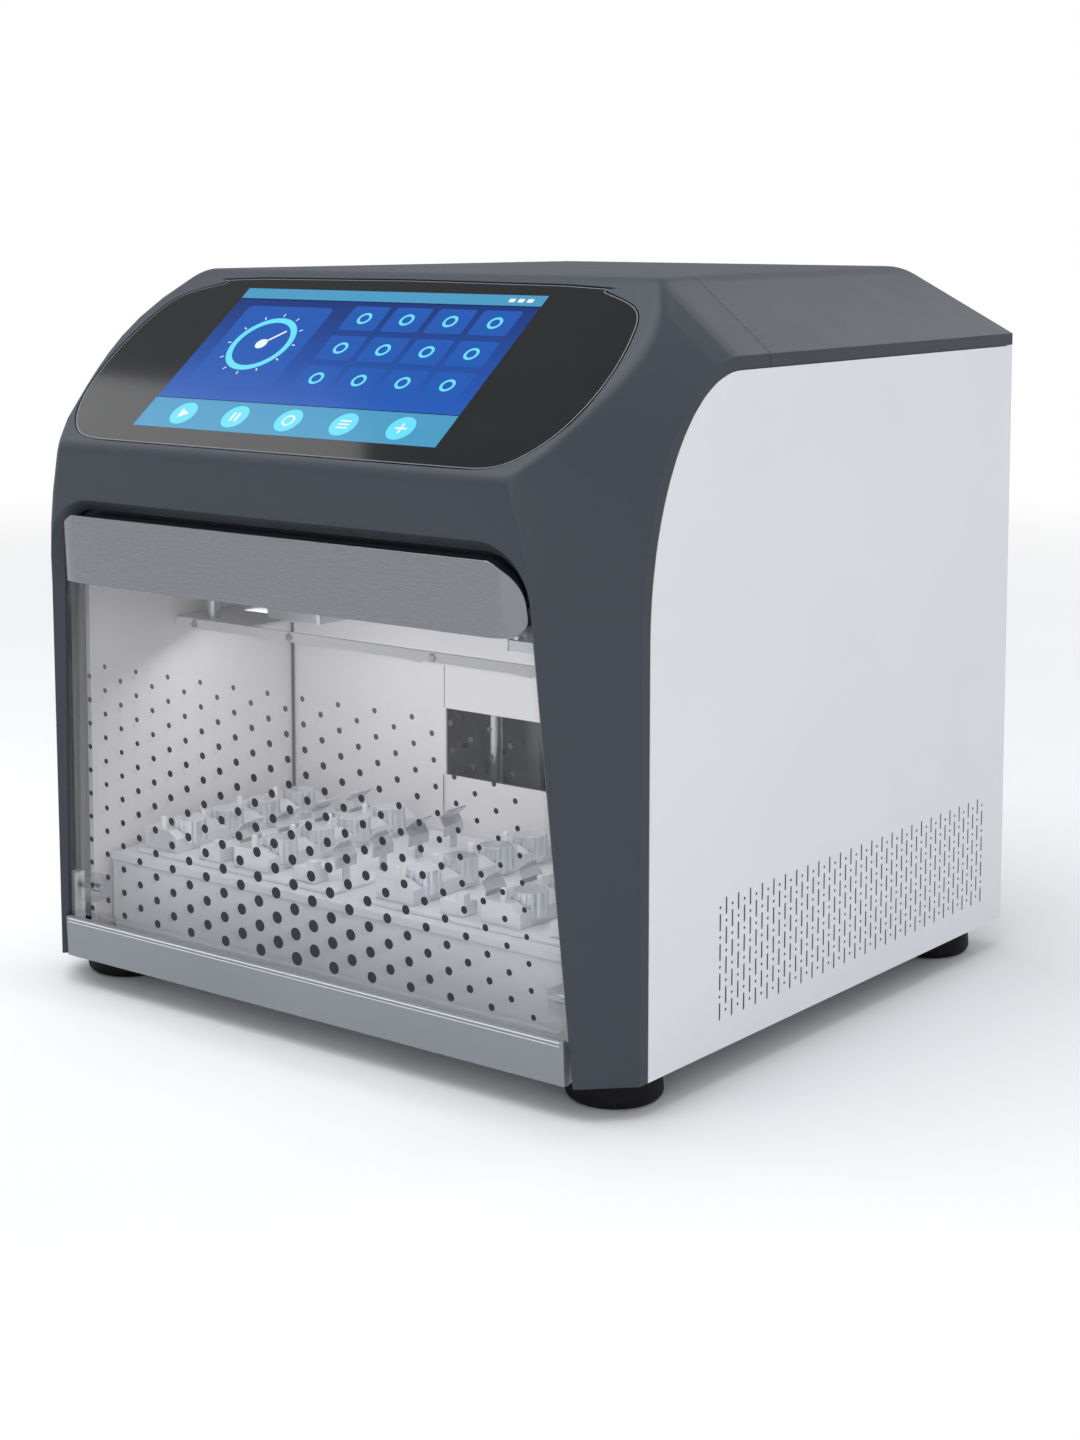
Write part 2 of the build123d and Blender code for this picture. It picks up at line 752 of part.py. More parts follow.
# ---------------------------------------------------------------- plate over the chamber
ceiling_top = ceiling_z + ceiling_sheet
ceiling_rear_y = back_wall_y - 0.5
head_clear = 2.0
comb_mid_y = comb_front_y + comb_length / 2
tab_xs = (tab_inset - liner_half, -115.0, 5.0, 85.0, liner_half - tab_inset)
with BuildPart() as chamber_ceiling:
    with BuildSketch(Plane.XY.offset(ceiling_z)):
        with Locations((0, (ceiling_front_y + ceiling_rear_y) / 2)):
            Rectangle(2 * ceiling_half, ceiling_rear_y - ceiling_front_y)
        with Locations((0, comb_mid_y)):
            Rectangle(2 * (head_half + head_clear), comb_length + 2 * head_clear,
                      mode=Mode.SUBTRACT)
    extrude(amount=ceiling_sheet)
    with BuildSketch(Plane.XY.offset(ceiling_top - ceiling_flange)):
        with Locations((0, ceiling_front_y + ceiling_sheet / 4)):
            Rectangle(2 * ceiling_half, ceiling_sheet / 2)
    extrude(amount=ceiling_flange - ceiling_sheet)
    for x in tab_xs:
        with BuildSketch(Plane.XZ.offset(-ceiling_front_y)):
            with BuildLine():
                low = ceiling_top - ceiling_flange
                Polyline((x - tab_size / 2, low), (x + tab_size / 2, low),
                         (x + tab_size / 2, low - tab_size / 3), close=True)
            make_face()
        extrude(amount=-ceiling_sheet / 2)
save(chamber_ceiling, "chamber_ceiling")

standoff_x = liner_half - 21.0
standoff_places = [(x, y) for x in (-standoff_x, standoff_x) for y in (-92.0, -14.0)]
with BuildPart() as ceiling_standoffs:
    with Locations(*[(x, y, ceiling_top) for x, y in standoff_places]):
        Cylinder(standoff_radius, deck_z - ceiling_top, align=(Align.CENTER, Align.CENTER, Align.MIN))
save(ceiling_standoffs, "ceiling_standoffs")

# ---------------------------------------------------------------- lift drive
shelf_low_top = shaft_low
shelf_high_z = 300.0
with BuildPart() as drive_frame:
    with BuildSketch(Plane.XY.offset(pan_top)):
        with Locations((0, drive_plate_y + drive_sheet / 2)):
            Rectangle(2 * drive_half, drive_sheet)
    extrude(amount=deck_z - pan_top)
    for shelf_z in (shelf_low_top - drive_sheet, shelf_high_z):
        with BuildSketch(Plane.XY.offset(shelf_z)):
            with Locations((0, (shaft_y - 16.0 + drive_plate_y) / 2)):
                Rectangle(2 * drive_half, drive_plate_y - shaft_y + 16.0)
            with Locations((0, shaft_y)):
                Circle(screw_radius * 0.6 + slide_fit, mode=Mode.SUBTRACT)
        extrude(amount=drive_sheet)
save(drive_frame, "drive_frame")

with BuildPart() as guide_shafts:
    with Locations((-shaft_x, shaft_y, shaft_low), (shaft_x, shaft_y, shaft_low)):
        Cylinder(shaft_radius, shelf_high_z - shaft_low,
                 align=(Align.CENTER, Align.CENTER, Align.MIN))
save(guide_shafts, "guide_shafts")

journal_radius = screw_radius * 0.6
motor_top = shelf_low_top - drive_sheet
with BuildPart() as lift_motor:
    with Locations((0, shaft_y, motor_top - motor_height)):
        Box(motor_size * 0.9, motor_size * 0.9, motor_height,
            align=(Align.CENTER, Align.CENTER, Align.MIN))
    fillet(lift_motor.edges().filter_by(Axis.Z), radius=4.0)
    with Locations((0, shaft_y, motor_top)):
        Cylinder(journal_radius + slide_fit, 16.0, align=(Align.CENTER, Align.CENTER, Align.MAX),
                 mode=Mode.SUBTRACT)
save(lift_motor, "lift_motor")

screw_low = shelf_low_top + 1.0
screw_high = shelf_high_z - 1.0
with BuildPart() as lift_screw:
    with Locations((0, shaft_y, screw_low)):
        Cylinder(screw_radius, screw_high - screw_low,
                 align=(Align.CENTER, Align.CENTER, Align.MIN))
    with Locations((0, shaft_y, motor_top - 15.0)):
        Cylinder(journal_radius, shelf_high_z + drive_sheet - motor_top + 15.0,
                 align=(Align.CENTER, Align.CENTER, Align.MIN))
save(lift_screw, "lift_screw")

coupling_radius = 9.0
with BuildPart() as screw_coupling:
    with Locations((0, shaft_y, screw_low)):
        Cylinder(coupling_radius, 18.0, align=(Align.CENTER, Align.CENTER, Align.MIN))
        Cylinder(screw_radius, 18.0, align=(Align.CENTER, Align.CENTER, Align.MIN),
                 mode=Mode.SUBTRACT)
save(screw_coupling, "screw_coupling")

# ---------------------------------------------------------------- magnetic-rod head
bush_radius = 10.0
nut_radius = 12.0
with BuildPart() as head_carriage:
    with BuildSketch(Plane.XY.offset(carriage_low)):
        with Locations((0, carriage_y + carriage_sheet / 2)):
            Rectangle(2 * (shaft_x + bush_radius), carriage_sheet)
        for x in (-shaft_x, shaft_x):
            with Locations((x, (carriage_y + shaft_y) / 2)):
                Rectangle(2 * bush_radius, shaft_y - carriage_y)
            with Locations((x, shaft_y)):
                Circle(bush_radius)
                Circle(shaft_radius + slide_fit, mode=Mode.SUBTRACT)
    extrude(amount=beam_z - carriage_low)
    with BuildSketch(Plane.XY.offset(beam_z)):
        with Locations((0, comb_mid_y)):
            RectangleRounded(2 * head_half - 2.0, comb_length, 6.0)
        with Locations((0, (comb_mid_y + shaft_y + bush_radius) / 2)):
            Rectangle(2 * (shaft_x + bush_radius), shaft_y + bush_radius - comb_mid_y)
        with Locations((-shaft_x, shaft_y), (shaft_x, shaft_y)):
            Circle(shaft_radius + slide_fit, mode=Mode.SUBTRACT)
        with Locations((0, shaft_y)):
            Circle(screw_radius + 1.0, mode=Mode.SUBTRACT)
        with Locations((0, comb_mid_y)):
            Circle(rod_screw_radius + 0.6, mode=Mode.SUBTRACT)
    extrude(amount=beam_sheet)
save(head_carriage, "head_carriage")

with BuildPart() as lift_nut:
    with Locations((0, shaft_y, beam_z)):
        Cylinder(nut_radius, 16.0, align=(Align.CENTER, Align.CENTER, Align.MAX))
        Cylinder(screw_radius + slide_fit, 16.0, align=(Align.CENTER, Align.CENTER, Align.MAX),
                 mode=Mode.SUBTRACT)
save(lift_nut, "lift_nut")

rod_ys = [comb_mid_y + (i - (rod_count - 1) / 2) * rod_pitch for i in range(rod_count)]
rod_places = [(side * comb_x, y) for side in (-1, 1) for y in rod_ys]
post_ys = (comb_front_y + post_inset, comb_front_y + comb_length - post_inset)
post_places = [(side * comb_x + dx, y) for side in (-1, 1) for dx in (-post_x, post_x)
               for y in post_ys]
comb_top = comb_z + comb_sheet
with BuildPart() as comb_holders:
    with BuildSketch(Plane.XY.offset(comb_z)):
        with Locations((-comb_x, comb_mid_y), (comb_x, comb_mid_y)):
            RectangleRounded(2 * comb_half, comb_length, 3.0)
        with Locations(*rod_places):
            Circle(rod_radius + rod_bore_gap, mode=Mode.SUBTRACT)
    extrude(amount=comb_sheet)
save(comb_holders, "comb_holders")

with BuildPart() as comb_posts:
    with Locations(*[(x, y, comb_top) for x, y in post_places]):
        Cylinder(post_radius, beam_z - comb_top, align=(Align.CENTER, Align.CENTER, Align.MIN))
save(comb_posts, "comb_posts")

beam_top = beam_z + beam_sheet
with BuildPart() as rod_motor:
    with Locations((0, comb_mid_y, beam_top)):
        Box(head_motor_size, head_motor_size, head_motor_height,
            align=(Align.CENTER, Align.CENTER, Align.MIN))
        Cylinder(rod_screw_radius + slide_fit, 9.0, align=(Align.CENTER, Align.CENTER, Align.MIN),
                 mode=Mode.SUBTRACT)
save(rod_motor, "rod_motor")

rod_screw_low = rod_plate_z - rod_travel - 2.0
with BuildPart() as rod_screw:
    with Locations((0, comb_mid_y, rod_screw_low)):
        Cylinder(rod_screw_radius, beam_top + 8.5 - rod_screw_low,
                 align=(Align.CENTER, Align.CENTER, Align.MIN))
save(rod_screw, "rod_screw")

rod_plate_top = rod_plate_z + rod_plate_sheet
with BuildPart() as rod_plate:
    with BuildSketch(Plane.XY.offset(rod_plate_z)):
        with Locations((0, comb_mid_y)):
            RectangleRounded(2 * (comb_x + comb_half), comb_length - 2.0, 3.0)
            Circle(rod_screw_radius + slide_fit, mode=Mode.SUBTRACT)
        with Locations(*post_places):
            Circle(post_radius + 0.6, mode=Mode.SUBTRACT)
    extrude(amount=rod_plate_sheet)
save(rod_plate, "rod_plate")

with BuildPart() as magnet_rods:
    with Locations(*[(x, y, rod_tip_z) for x, y in rod_places]):
        Cylinder(rod_radius, rod_plate_z - rod_tip_z, align=(Align.CENTER, Align.CENTER, Align.MIN))
save(magnet_rods, "magnet_rods")

with BuildPart() as rod_nut:
    with Locations((0, comb_mid_y, rod_plate_top)):
        Cylinder(9.0, 8.0, align=(Align.CENTER, Align.CENTER, Align.MIN))
        Cylinder(rod_screw_radius + slide_fit, 8.0, align=(Align.CENTER, Align.CENTER, Align.MIN),
                 mode=Mode.SUBTRACT)
save(rod_nut, "rod_nut")

# ---------------------------------------------------------------- door
door_outline = opening_face(door_plane.offset(-glass_thickness), -glass_gap, glass_bottom)
with BuildPart() as door_panel:
    add(door_outline)
    extrude(amount=glass_thickness, dir=door_plane.z_dir)
save(door_panel, "door_panel")

handle_top = handle_bottom + handle_height
handle_outline = opening_face(door_plane.offset(-1.0), -handle_side_gap, handle_bottom,
                              handle_low_corner)
handle_half = opening_half - handle_top * opening_taper - handle_side_gap
handle_flat_half = handle_half - handle_end_run
handle_base = Plane(origin=door_plane.from_local_coords((0, handle_bottom, 0)), x_dir=x_axis,
                    z_dir=door_plane.y_dir)
with BuildPart() as door_handle:
    with BuildSketch(handle_base):
        with BuildLine():
            Polyline((0, -handle_stand), (handle_flat_half, -handle_stand),
                     (handle_flat_half + handle_bend, handle_bend_drop - handle_stand),
                     (handle_half + handle_sheet, 0), (handle_half - 2 * handle_sheet, 0),
                     (handle_flat_half + handle_bend - handle_sheet,
                      handle_bend_drop + handle_sheet - handle_stand),
                     (handle_flat_half - handle_bend_drop, handle_sheet - handle_stand),
                     (0, handle_sheet - handle_stand))
            mirror(about=Plane.YZ)
        make_face()
    extrude(amount=handle_height)
    extrude(handle_outline, amount=30.0, dir=door_plane.z_dir, mode=Mode.INTERSECT)
save(door_handle, "door_handle")

knuckle_xs = [side * (hinge_knuckle_x + hinge_knuckle / 2) for side in (-1, 1)]
glass_back_low = door_y(hinge_z - knuckle_rise) + glass_thickness + knuckle_glue
glass_back_high = door_y(hinge_z + knuckle_rise) + glass_thickness + knuckle_glue
with BuildPart() as hinge_knuckles:
    for x in knuckle_xs:
        with BuildSketch(Plane.YZ.offset(x - hinge_knuckle / 2)):
            with BuildLine():
                Polyline((glass_back_low, hinge_z - knuckle_rise),
                         (hinge_y + knuckle_back, hinge_z - knuckle_rise),
                         (hinge_y + knuckle_back, hinge_z + knuckle_rise),
                         (glass_back_high, hinge_z + knuckle_rise), close=True)
            make_face()
            with Locations((hinge_y, hinge_z)):
                Circle(hinge_pin_radius + hinge_pin_fit, mode=Mode.SUBTRACT)
        extrude(amount=hinge_knuckle)
save(hinge_knuckles, "hinge_knuckles")

with BuildPart() as hinge_blocks:
    for side in (-1, 1):
        with Locations((side * (hinge_block_x + hinge_block_width / 2),
                        hinge_y, pan_top)):
            Box(hinge_block_width, hinge_block_depth, hinge_z + knuckle_rise - pan_top,
                align=(Align.CENTER, Align.CENTER, Align.MIN))
    with Locations(Location((0, hinge_y, hinge_z), (0, 90, 0))):
        Cylinder(hinge_pin_radius, 2 * (hinge_block_x + hinge_block_width), mode=Mode.SUBTRACT)
save(hinge_blocks, "hinge_blocks")

hinge_pin_length = hinge_block_x + hinge_block_width - hinge_knuckle_x
with BuildPart() as hinge_pins:
    for side in (-1, 1):
        with Locations(Location((side * (hinge_knuckle_x + hinge_pin_length / 2), hinge_y,
                                 hinge_z), (0, 90, 0))):
            Cylinder(hinge_pin_radius, hinge_pin_length)
save(hinge_pins, "hinge_pins")

# ---------------------------------------------------------------- display
with BuildPart() as display_panel:
    with BuildSketch(screen_plane.offset(-bezel_depth - display_depth)):
        with Locations((display_x, window_mid)):
            Rectangle(display_width + 2 * display_rim, display_height + 2 * display_rim)
    extrude(amount=display_depth)
save(display_panel, "display_panel")

bracket_back = bezel_depth + display_depth + bracket_sheet
with BuildPart() as display_bracket:
    with BuildSketch(screen_plane.offset(-bracket_back)):
        with Locations((display_x, window_mid)):
            Rectangle(display_width + 2 * bracket_ear, display_height - 2 * bracket_inset)
            Rectangle(display_width - 2 * bracket_bar, display_height - 2 * bracket_bar,
                      mode=Mode.SUBTRACT)
    extrude(amount=bracket_sheet)
    with BuildSketch(screen_plane.offset(-bracket_back + bracket_sheet)):
        with Locations((display_x, window_mid)):
            with GridLocations(display_width + display_rim + bracket_ear,
                               display_height - 3 * bracket_inset, 2, 2):
                Circle(bracket_post_radius)
    extrude(amount=display_depth)
save(display_bracket, "display_bracket")

# ---------------------------------------------------------------- electrics
board_width, board_depth, board_sheet = 170.0, 120.0, 1.6
board_y = 70.0
board_post_height = 6.0
board_z = deck_z + deck_sheet + board_post_height
board_top = board_z + board_sheet
board_heat_sink = (30.0, 30.0, 12.0)
board_capacitor = (8.0, 20.0)
board_terminals = (80.0, 10.0, 9.0)
on_board = (Align.CENTER, Align.CENTER, Align.MIN)
with BuildPart() as control_board:
    with Locations((0, board_y, board_z)):
        Box(board_width, board_depth, board_sheet, align=on_board)
    with Locations((-50.0, board_y + 20.0, board_top)):
        Box(*board_heat_sink, align=on_board)
    with Locations((30.0, board_y + 30.0, board_top), (55.0, board_y + 30.0, board_top)):
        Cylinder(*board_capacitor, align=on_board)
    with Locations((20.0, board_y - 30.0, board_top)):
        Box(*board_terminals, align=on_board)
save(control_board, "control_board")

with BuildPart() as board_posts:
    with Locations((0, board_y, deck_z + deck_sheet)):
        with GridLocations(board_width - 12.0, board_depth - 12.0, 2, 2):
            Cylinder(3.0, board_post_height, align=on_board)
save(board_posts, "board_posts")

with BuildPart() as power_supply:
    with Locations((supply_x, supply_y, pan_top)):
        Box(supply_width, supply_depth, supply_height, align=on_board)
    fillet(power_supply.edges().filter_by(Axis.Z), radius=2.0)
save(power_supply, "power_supply")

rear_outer_y = body_rear - 0.5
rear_inner_y = rear_outer_y - rear_sheet
rear_half = half_width - panel_sheet - 0.3
rear_arch = roof_section(rear_inner_y, shell_wall + running_gap)
rear_arch_low = fan_z + panel_rise - (shell_wall + running_gap) / 3
inlet_half_x, inlet_half_z = 24.0, 14.0
switch_half_x, switch_half_z = 11.0, 14.0
port_half_x, port_half_z = 7.0, 3.5
fan_places = (fan_x, fan_z_mid)
with BuildPart() as rear_panel:
    extrude(rear_arch, amount=rear_sheet, dir=(0, 1, 0))
    with BuildSketch(Plane.XZ.offset(-rear_outer_y)):
        with Locations((0, (base_z + rear_arch_low) / 2)):
            Rectangle(2 * rear_half, rear_arch_low - base_z)
    extrude(amount=rear_sheet)
    with BuildSketch(Plane.XZ.offset(-rear_outer_y)):
        with Locations(fan_places):
            Circle(fan_bore - 1.0)
        with Locations((inlet_x, inlet_z)):
            Rectangle(2 * inlet_half_x, 2 * inlet_half_z)
        with Locations((switch_x, inlet_z)):
            Rectangle(2 * switch_half_x, 2 * switch_half_z)
        with Locations((port_x, inlet_z)):
            Rectangle(2 * port_half_x, 2 * port_half_z)
    extrude(amount=rear_sheet, mode=Mode.SUBTRACT)
save(rear_panel, "rear_panel")

# ---------------------------------------------------------------- rear fan
fan_mid = Plane(origin=(fan_x, rear_inner_y - 0.2, fan_z_mid), x_dir=x_axis, z_dir=(0, -1, 0))
fan_hub = 15.0
fan_shaft_radius = 2.0
fan_strut = 3.0
blade_tip_gap = 2.0
blade_chord, blade_sheet, blade_twist = 14.0, 1.4, 38.0
blade_lead = 5.5
rotor_depth = 14.0
rotor_lead = 6.0
blade_count = 7
with BuildPart() as fan_frame:
    with BuildSketch(fan_mid):
        RectangleRounded(fan_size, fan_size, 5.0)
        Circle(fan_bore, mode=Mode.SUBTRACT)
    extrude(amount=fan_depth)
    with BuildSketch(fan_mid.offset(fan_depth - fan_strut)):
        Circle(fan_hub)
        with PolarLocations(0, 4, 45):
            with Locations((fan_size / 4, 0)):
                Rectangle(fan_size / 2, fan_strut)
    extrude(amount=fan_strut)
    with BuildSketch(fan_mid.offset(rotor_lead)):
        Circle(fan_shaft_radius)
    extrude(amount=fan_depth - rotor_lead - fan_strut)
save(fan_frame, "fan_frame")

with BuildPart() as fan_rotor:
    with BuildSketch(fan_mid.offset(rotor_lead - 1.5)):
        Circle(fan_hub)
    extrude(amount=rotor_depth)
    with BuildSketch(fan_mid.offset(rotor_lead)):
        Circle(fan_shaft_radius + slide_fit)
    extrude(amount=rotor_depth, mode=Mode.SUBTRACT)
rotor_hub = fan_rotor.part
blade_reach = fan_bore - blade_tip_gap
with BuildPart() as fan_blade:
    with BuildSketch(Plane(origin=fan_mid.from_local_coords((fan_hub - 1.0, 0,
                                                             rotor_lead + blade_lead)),
                           x_dir=(0, 0, 1), z_dir=x_axis)):
        Rectangle(blade_chord, blade_sheet, rotation=blade_twist)
    extrude(amount=blade_reach - fan_hub + 1.0)
with BuildPart() as fan_rotor:
    add(rotor_hub)
    for i in range(blade_count):
        add(fan_blade.part.rotate(Axis(fan_mid.origin, fan_mid.z_dir), i * 360 / blade_count))
save(fan_rotor, "fan_rotor")

guard_wire = 1.0
guard_bar = 104.0
guard_rib, guard_arm = 1.6, 2.4
guard_rings = (12.0, 21.0, 30.0)
with BuildPart() as fan_guard:
    with BuildSketch(Plane.XZ.offset(-rear_outer_y)):
        with Locations(fan_places):
            for radius in guard_rings:
                Circle(radius)
                Circle(radius - guard_rib, mode=Mode.SUBTRACT)
            for turn in (45, 135):
                Rectangle(guard_bar, guard_arm, rotation=turn)
            Circle(fan_bore + 1.0)
            Circle(fan_bore - 1.0, mode=Mode.SUBTRACT)
    extrude(amount=-2 * guard_wire)
save(fan_guard, "fan_guard")

# ---------------------------------------------------------------- rear connectors
flange_corner = 2.0
port_sheet, port_depth = 0.5, 14.0
socket_fit = 0.4            # housing in its cut-out, both sides together
inlet_rim, inlet_depth, inlet_hollow = 4.0, 24.0, 16.0
pin_sheet, pin_height, pin_length = 2.0, 5.0, 13.0
pin_places = ((-7.0, -2.0), (7.0, -2.0), (0.0, 3.0))
switch_rim, switch_depth, switch_hollow = 2.0, 18.0, 14.0


def connector(x, half_x, half_z, rim, depth):
    """Flanged housing that fills a rear cut-out, with its face open to the rear."""
    with BuildPart() as housing:
        with BuildSketch(Plane.XZ.offset(-rear_outer_y)):
            with Locations((x, inlet_z)):
                RectangleRounded(2 * (half_x + rim), 2 * (half_z + rim), flange_corner)
        extrude(amount=-flange_sheet)
        with BuildSketch(Plane.XZ.offset(-rear_outer_y)):
            with Locations((x, inlet_z)):
                Rectangle(2 * half_x - socket_fit, 2 * half_z - socket_fit)
        extrude(amount=depth)
    return housing.part


flange_rear_y = rear_outer_y + flange_sheet
inlet_body = connector(inlet_x, inlet_half_x, inlet_half_z, inlet_rim, inlet_depth)
with BuildPart() as power_inlet:
    add(inlet_body)
    with BuildSketch(Plane.XZ.offset(-flange_rear_y)):
        with Locations((inlet_x, inlet_z)):
            RectangleRounded(2 * (inlet_half_x - inlet_rim), 2 * (inlet_half_z - inlet_rim) + 2.0,
                             flange_corner + 1.0)
    extrude(amount=inlet_hollow, mode=Mode.SUBTRACT)
    with BuildSketch(Plane.XZ.offset(-flange_rear_y + inlet_hollow)):
        with Locations(*[(inlet_x + x, inlet_z + z) for x, z in pin_places]):
            Rectangle(pin_sheet, pin_height)
    extrude(amount=-pin_length)
save(power_inlet, "power_inlet")

rocker_half_x, rocker_half_z = 7.0, 10.0
rocker_gap = 0.4
rocker_pin_radius = 1.2
rocker_back = 3.0
rocker_rise = 2.0           # between the pressed and the raised end
rocker_axis_y = rear_outer_y - 4.0
switch_body = connector(switch_x, switch_half_x, switch_half_z, switch_rim, switch_depth)
with BuildPart() as switch_housing:
    add(switch_body)
    with BuildSketch(Plane.XZ.offset(-flange_rear_y)):
        with Locations((switch_x, inlet_z)):
            Rectangle(2 * (rocker_half_x + rocker_gap), 2 * (rocker_half_z + 2 * rocker_gap))
    extrude(amount=switch_hollow, mode=Mode.SUBTRACT)
    with Locations(Location((switch_x, rocker_axis_y, inlet_z), (0, 90, 0))):
        Cylinder(rocker_pin_radius, 2 * (rocker_half_x + rocker_gap))
save(switch_housing, "switch_housing")

with BuildPart() as rocker_switch:
    with BuildSketch(Plane.YZ.offset(switch_x - rocker_half_x)):
        with BuildLine():
            Polyline((flange_rear_y - 0.8 * rocker_rise, inlet_z),
                     (flange_rear_y + 0.2 * rocker_rise, inlet_z + rocker_half_z - 0.6),
                     (rocker_axis_y - rocker_back, inlet_z + rocker_half_z - 3.5),
                     (rocker_axis_y - rocker_back, inlet_z - rocker_half_z + 3.5),
                     (flange_rear_y - 1.8 * rocker_rise, inlet_z - rocker_half_z + 0.8), close=True)
        make_face()
        with Locations((rocker_axis_y, inlet_z)):
            Circle(rocker_pin_radius + slide_fit, mode=Mode.SUBTRACT)
    extrude(amount=2 * rocker_half_x)
save(rocker_switch, "rocker_switch")

with BuildPart() as usb_port:
    with BuildSketch(Plane.XZ.offset(-rear_outer_y - 0.6)):
        with Locations((port_x, inlet_z)):
            Rectangle(2 * port_half_x - socket_fit, 2 * port_half_z - socket_fit)
            Rectangle(2 * port_half_x - socket_fit - 2 * port_sheet,
                      2 * port_half_z - socket_fit - 2 * port_sheet, mode=Mode.SUBTRACT)
    extrude(amount=port_depth)
    with BuildSketch(Plane.XZ.offset(-rear_outer_y + port_depth - 4.0)):
        with Locations((port_x, inlet_z)):
            Rectangle(2 * port_half_x - socket_fit, 2 * port_half_z - socket_fit)
    extrude(amount=3.4)
save(usb_port, "usb_port")

# ---------------------------------------------------------------- chamber lamp
lamp_y, lamp_z = -142.0, 292.0
lamp_half, lamp_radius = liner_half - 47.0, 7.5
with BuildPart() as lamp_tube:
    with Locations(Location((0, lamp_y, lamp_z), (0, 90, 0))):
        Cylinder(lamp_radius, 2 * lamp_half)
save(lamp_tube, "lamp_tube")

with BuildPart() as lamp_holders:
    for side in (-1, 1):
        with Locations((side * (lamp_half + 5.0), lamp_y, lamp_z - 10.0)):
            Box(10.0, 20.0, deck_z - lamp_z + 10.0, align=(Align.CENTER, Align.CENTER, Align.MIN))
save(lamp_holders, "lamp_holders")

# ---------------------------------------------------------------- screws
rear_screw_x = half_width - 19.0
rear_screw_xs, rear_screw_zs = (-rear_screw_x, 0.0, rear_screw_x), (32.0, 200.0, 362.0)
with BuildPart() as rear_screws:
    with BuildSketch(Plane.XZ.offset(-rear_outer_y)):
        for z in rear_screw_zs:
            with Locations(*[(x, z) for x in rear_screw_xs]):
                Circle(3.5)
    extrude(amount=-1.6)
save(rear_screws, "rear_screws")
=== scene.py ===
"""Dresses the bench-top nucleic acid extractor: finishes, door print, vents and screen."""
import json
from math import cos, hypot, pi, radians, sin

import bmesh
import bpy
from mathutils import Matrix, Vector


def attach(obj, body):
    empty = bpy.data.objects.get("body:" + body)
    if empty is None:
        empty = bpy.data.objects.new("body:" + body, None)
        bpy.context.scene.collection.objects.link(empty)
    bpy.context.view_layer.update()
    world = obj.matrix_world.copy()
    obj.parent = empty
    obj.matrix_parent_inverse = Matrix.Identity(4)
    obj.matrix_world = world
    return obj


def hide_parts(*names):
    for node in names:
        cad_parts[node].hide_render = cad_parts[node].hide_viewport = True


bl_info = {
    "name": "Bench Extractor Dressing",
    "version": (1, 0, 0),
    "blender": (4, 5, 0),
    "location": "View3D > Sidebar > Extractor",
    "description": "Finishes, printed glass, vents, screen and stage for a bench-top extractor",
    "category": "Object",
}

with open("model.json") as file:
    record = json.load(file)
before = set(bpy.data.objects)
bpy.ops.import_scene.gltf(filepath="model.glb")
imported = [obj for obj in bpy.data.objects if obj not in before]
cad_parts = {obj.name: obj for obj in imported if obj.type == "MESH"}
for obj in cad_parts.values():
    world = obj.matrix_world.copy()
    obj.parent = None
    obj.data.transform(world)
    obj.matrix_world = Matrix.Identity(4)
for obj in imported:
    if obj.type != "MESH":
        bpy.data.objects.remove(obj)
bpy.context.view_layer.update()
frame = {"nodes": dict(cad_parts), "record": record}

CASING = ("front_shell", "roof_cover")
BACKDROP = (1.0, 1.0, 1.0)      # floor far from the part, and background behind it
DOT_LIFT = 0.00006              # print above the glass face
DOT_SPREAD = 1.014              # width of the dot field at the sill, as a share
DOT_NARROWING = 0.39            # loss of that share for each metre up the door
DOT_REACH = (0.172, 0.150)      # how far out and up the large dots shrink to small ones
DOOR_SHADE_LIFT = 0.00005             # dark band on the door glass, behind the bar: painted shade of the gap above it
CABINET_SHADE_LIFT = -0.0056           # dark band behind the door glass, on the cabinet: painted shade of the gap above the bar
VENT_SHADE_X = 0.2147                # dark sheet behind the vents: painted shade inside the holes
CUTTER_X, CUTTER_DEPTH = 0.214, 0.006
VENT_SHADE_FIELD = ((-0.106, 0.030), (0.192, 0.030), (0.192, 0.103), (-0.106, 0.103))
PICTURE_LIFT = -0.00026         # lit screen and rim line, from the screen slope
LAYER_STEP = 0.00003            # between layers of the lit screen
LIP_TOP, LIP_SHARE = 0.208, 0.26    # the ceiling's lip keeps this share of its height
WALL_HEADER = ((-0.1868, -0.0007, 0.1786), (0.1868, -0.0001, 0.2076))
# Dark strips in the wall seams: painted shadow of the joints
WALL_JOINT_SHADOWS = ((-0.1869, -0.1846, 0.074, 0.2074), (0.1846, 0.1869, 0.074, 0.2074),
               (-0.0583, -0.0578, 0.074, 0.1100), (0.0578, 0.0583, 0.074, 0.1100))
JOINT_FRONT, JOINT_BACK = -0.0011, -0.00075
LIP_FACE_Y, LIP_SCREW_Z = -0.1042, 0.2068
LIP_SCREWS_X = (-0.1702, -0.0908, 0.0203, 0.1300)
REAR_FACE_Y = 0.2169
REAR_SCREWS = [(x, z) for x in (-0.196, 0.0, 0.196) for z in (0.032, 0.2, 0.362)]


# ------------------------------------------------------------------ user settings
def length(name, description, value):
    """A size in metres."""
    return bpy.props.FloatProperty(name=name, description=description, default=value,
                                   unit="LENGTH", precision=5)


def colour(name, description, value):
    """A linear colour."""
    return bpy.props.FloatVectorProperty(name=name, description=description, default=value,
                                         subtype="COLOR", size=3, min=0.0, max=1.0)


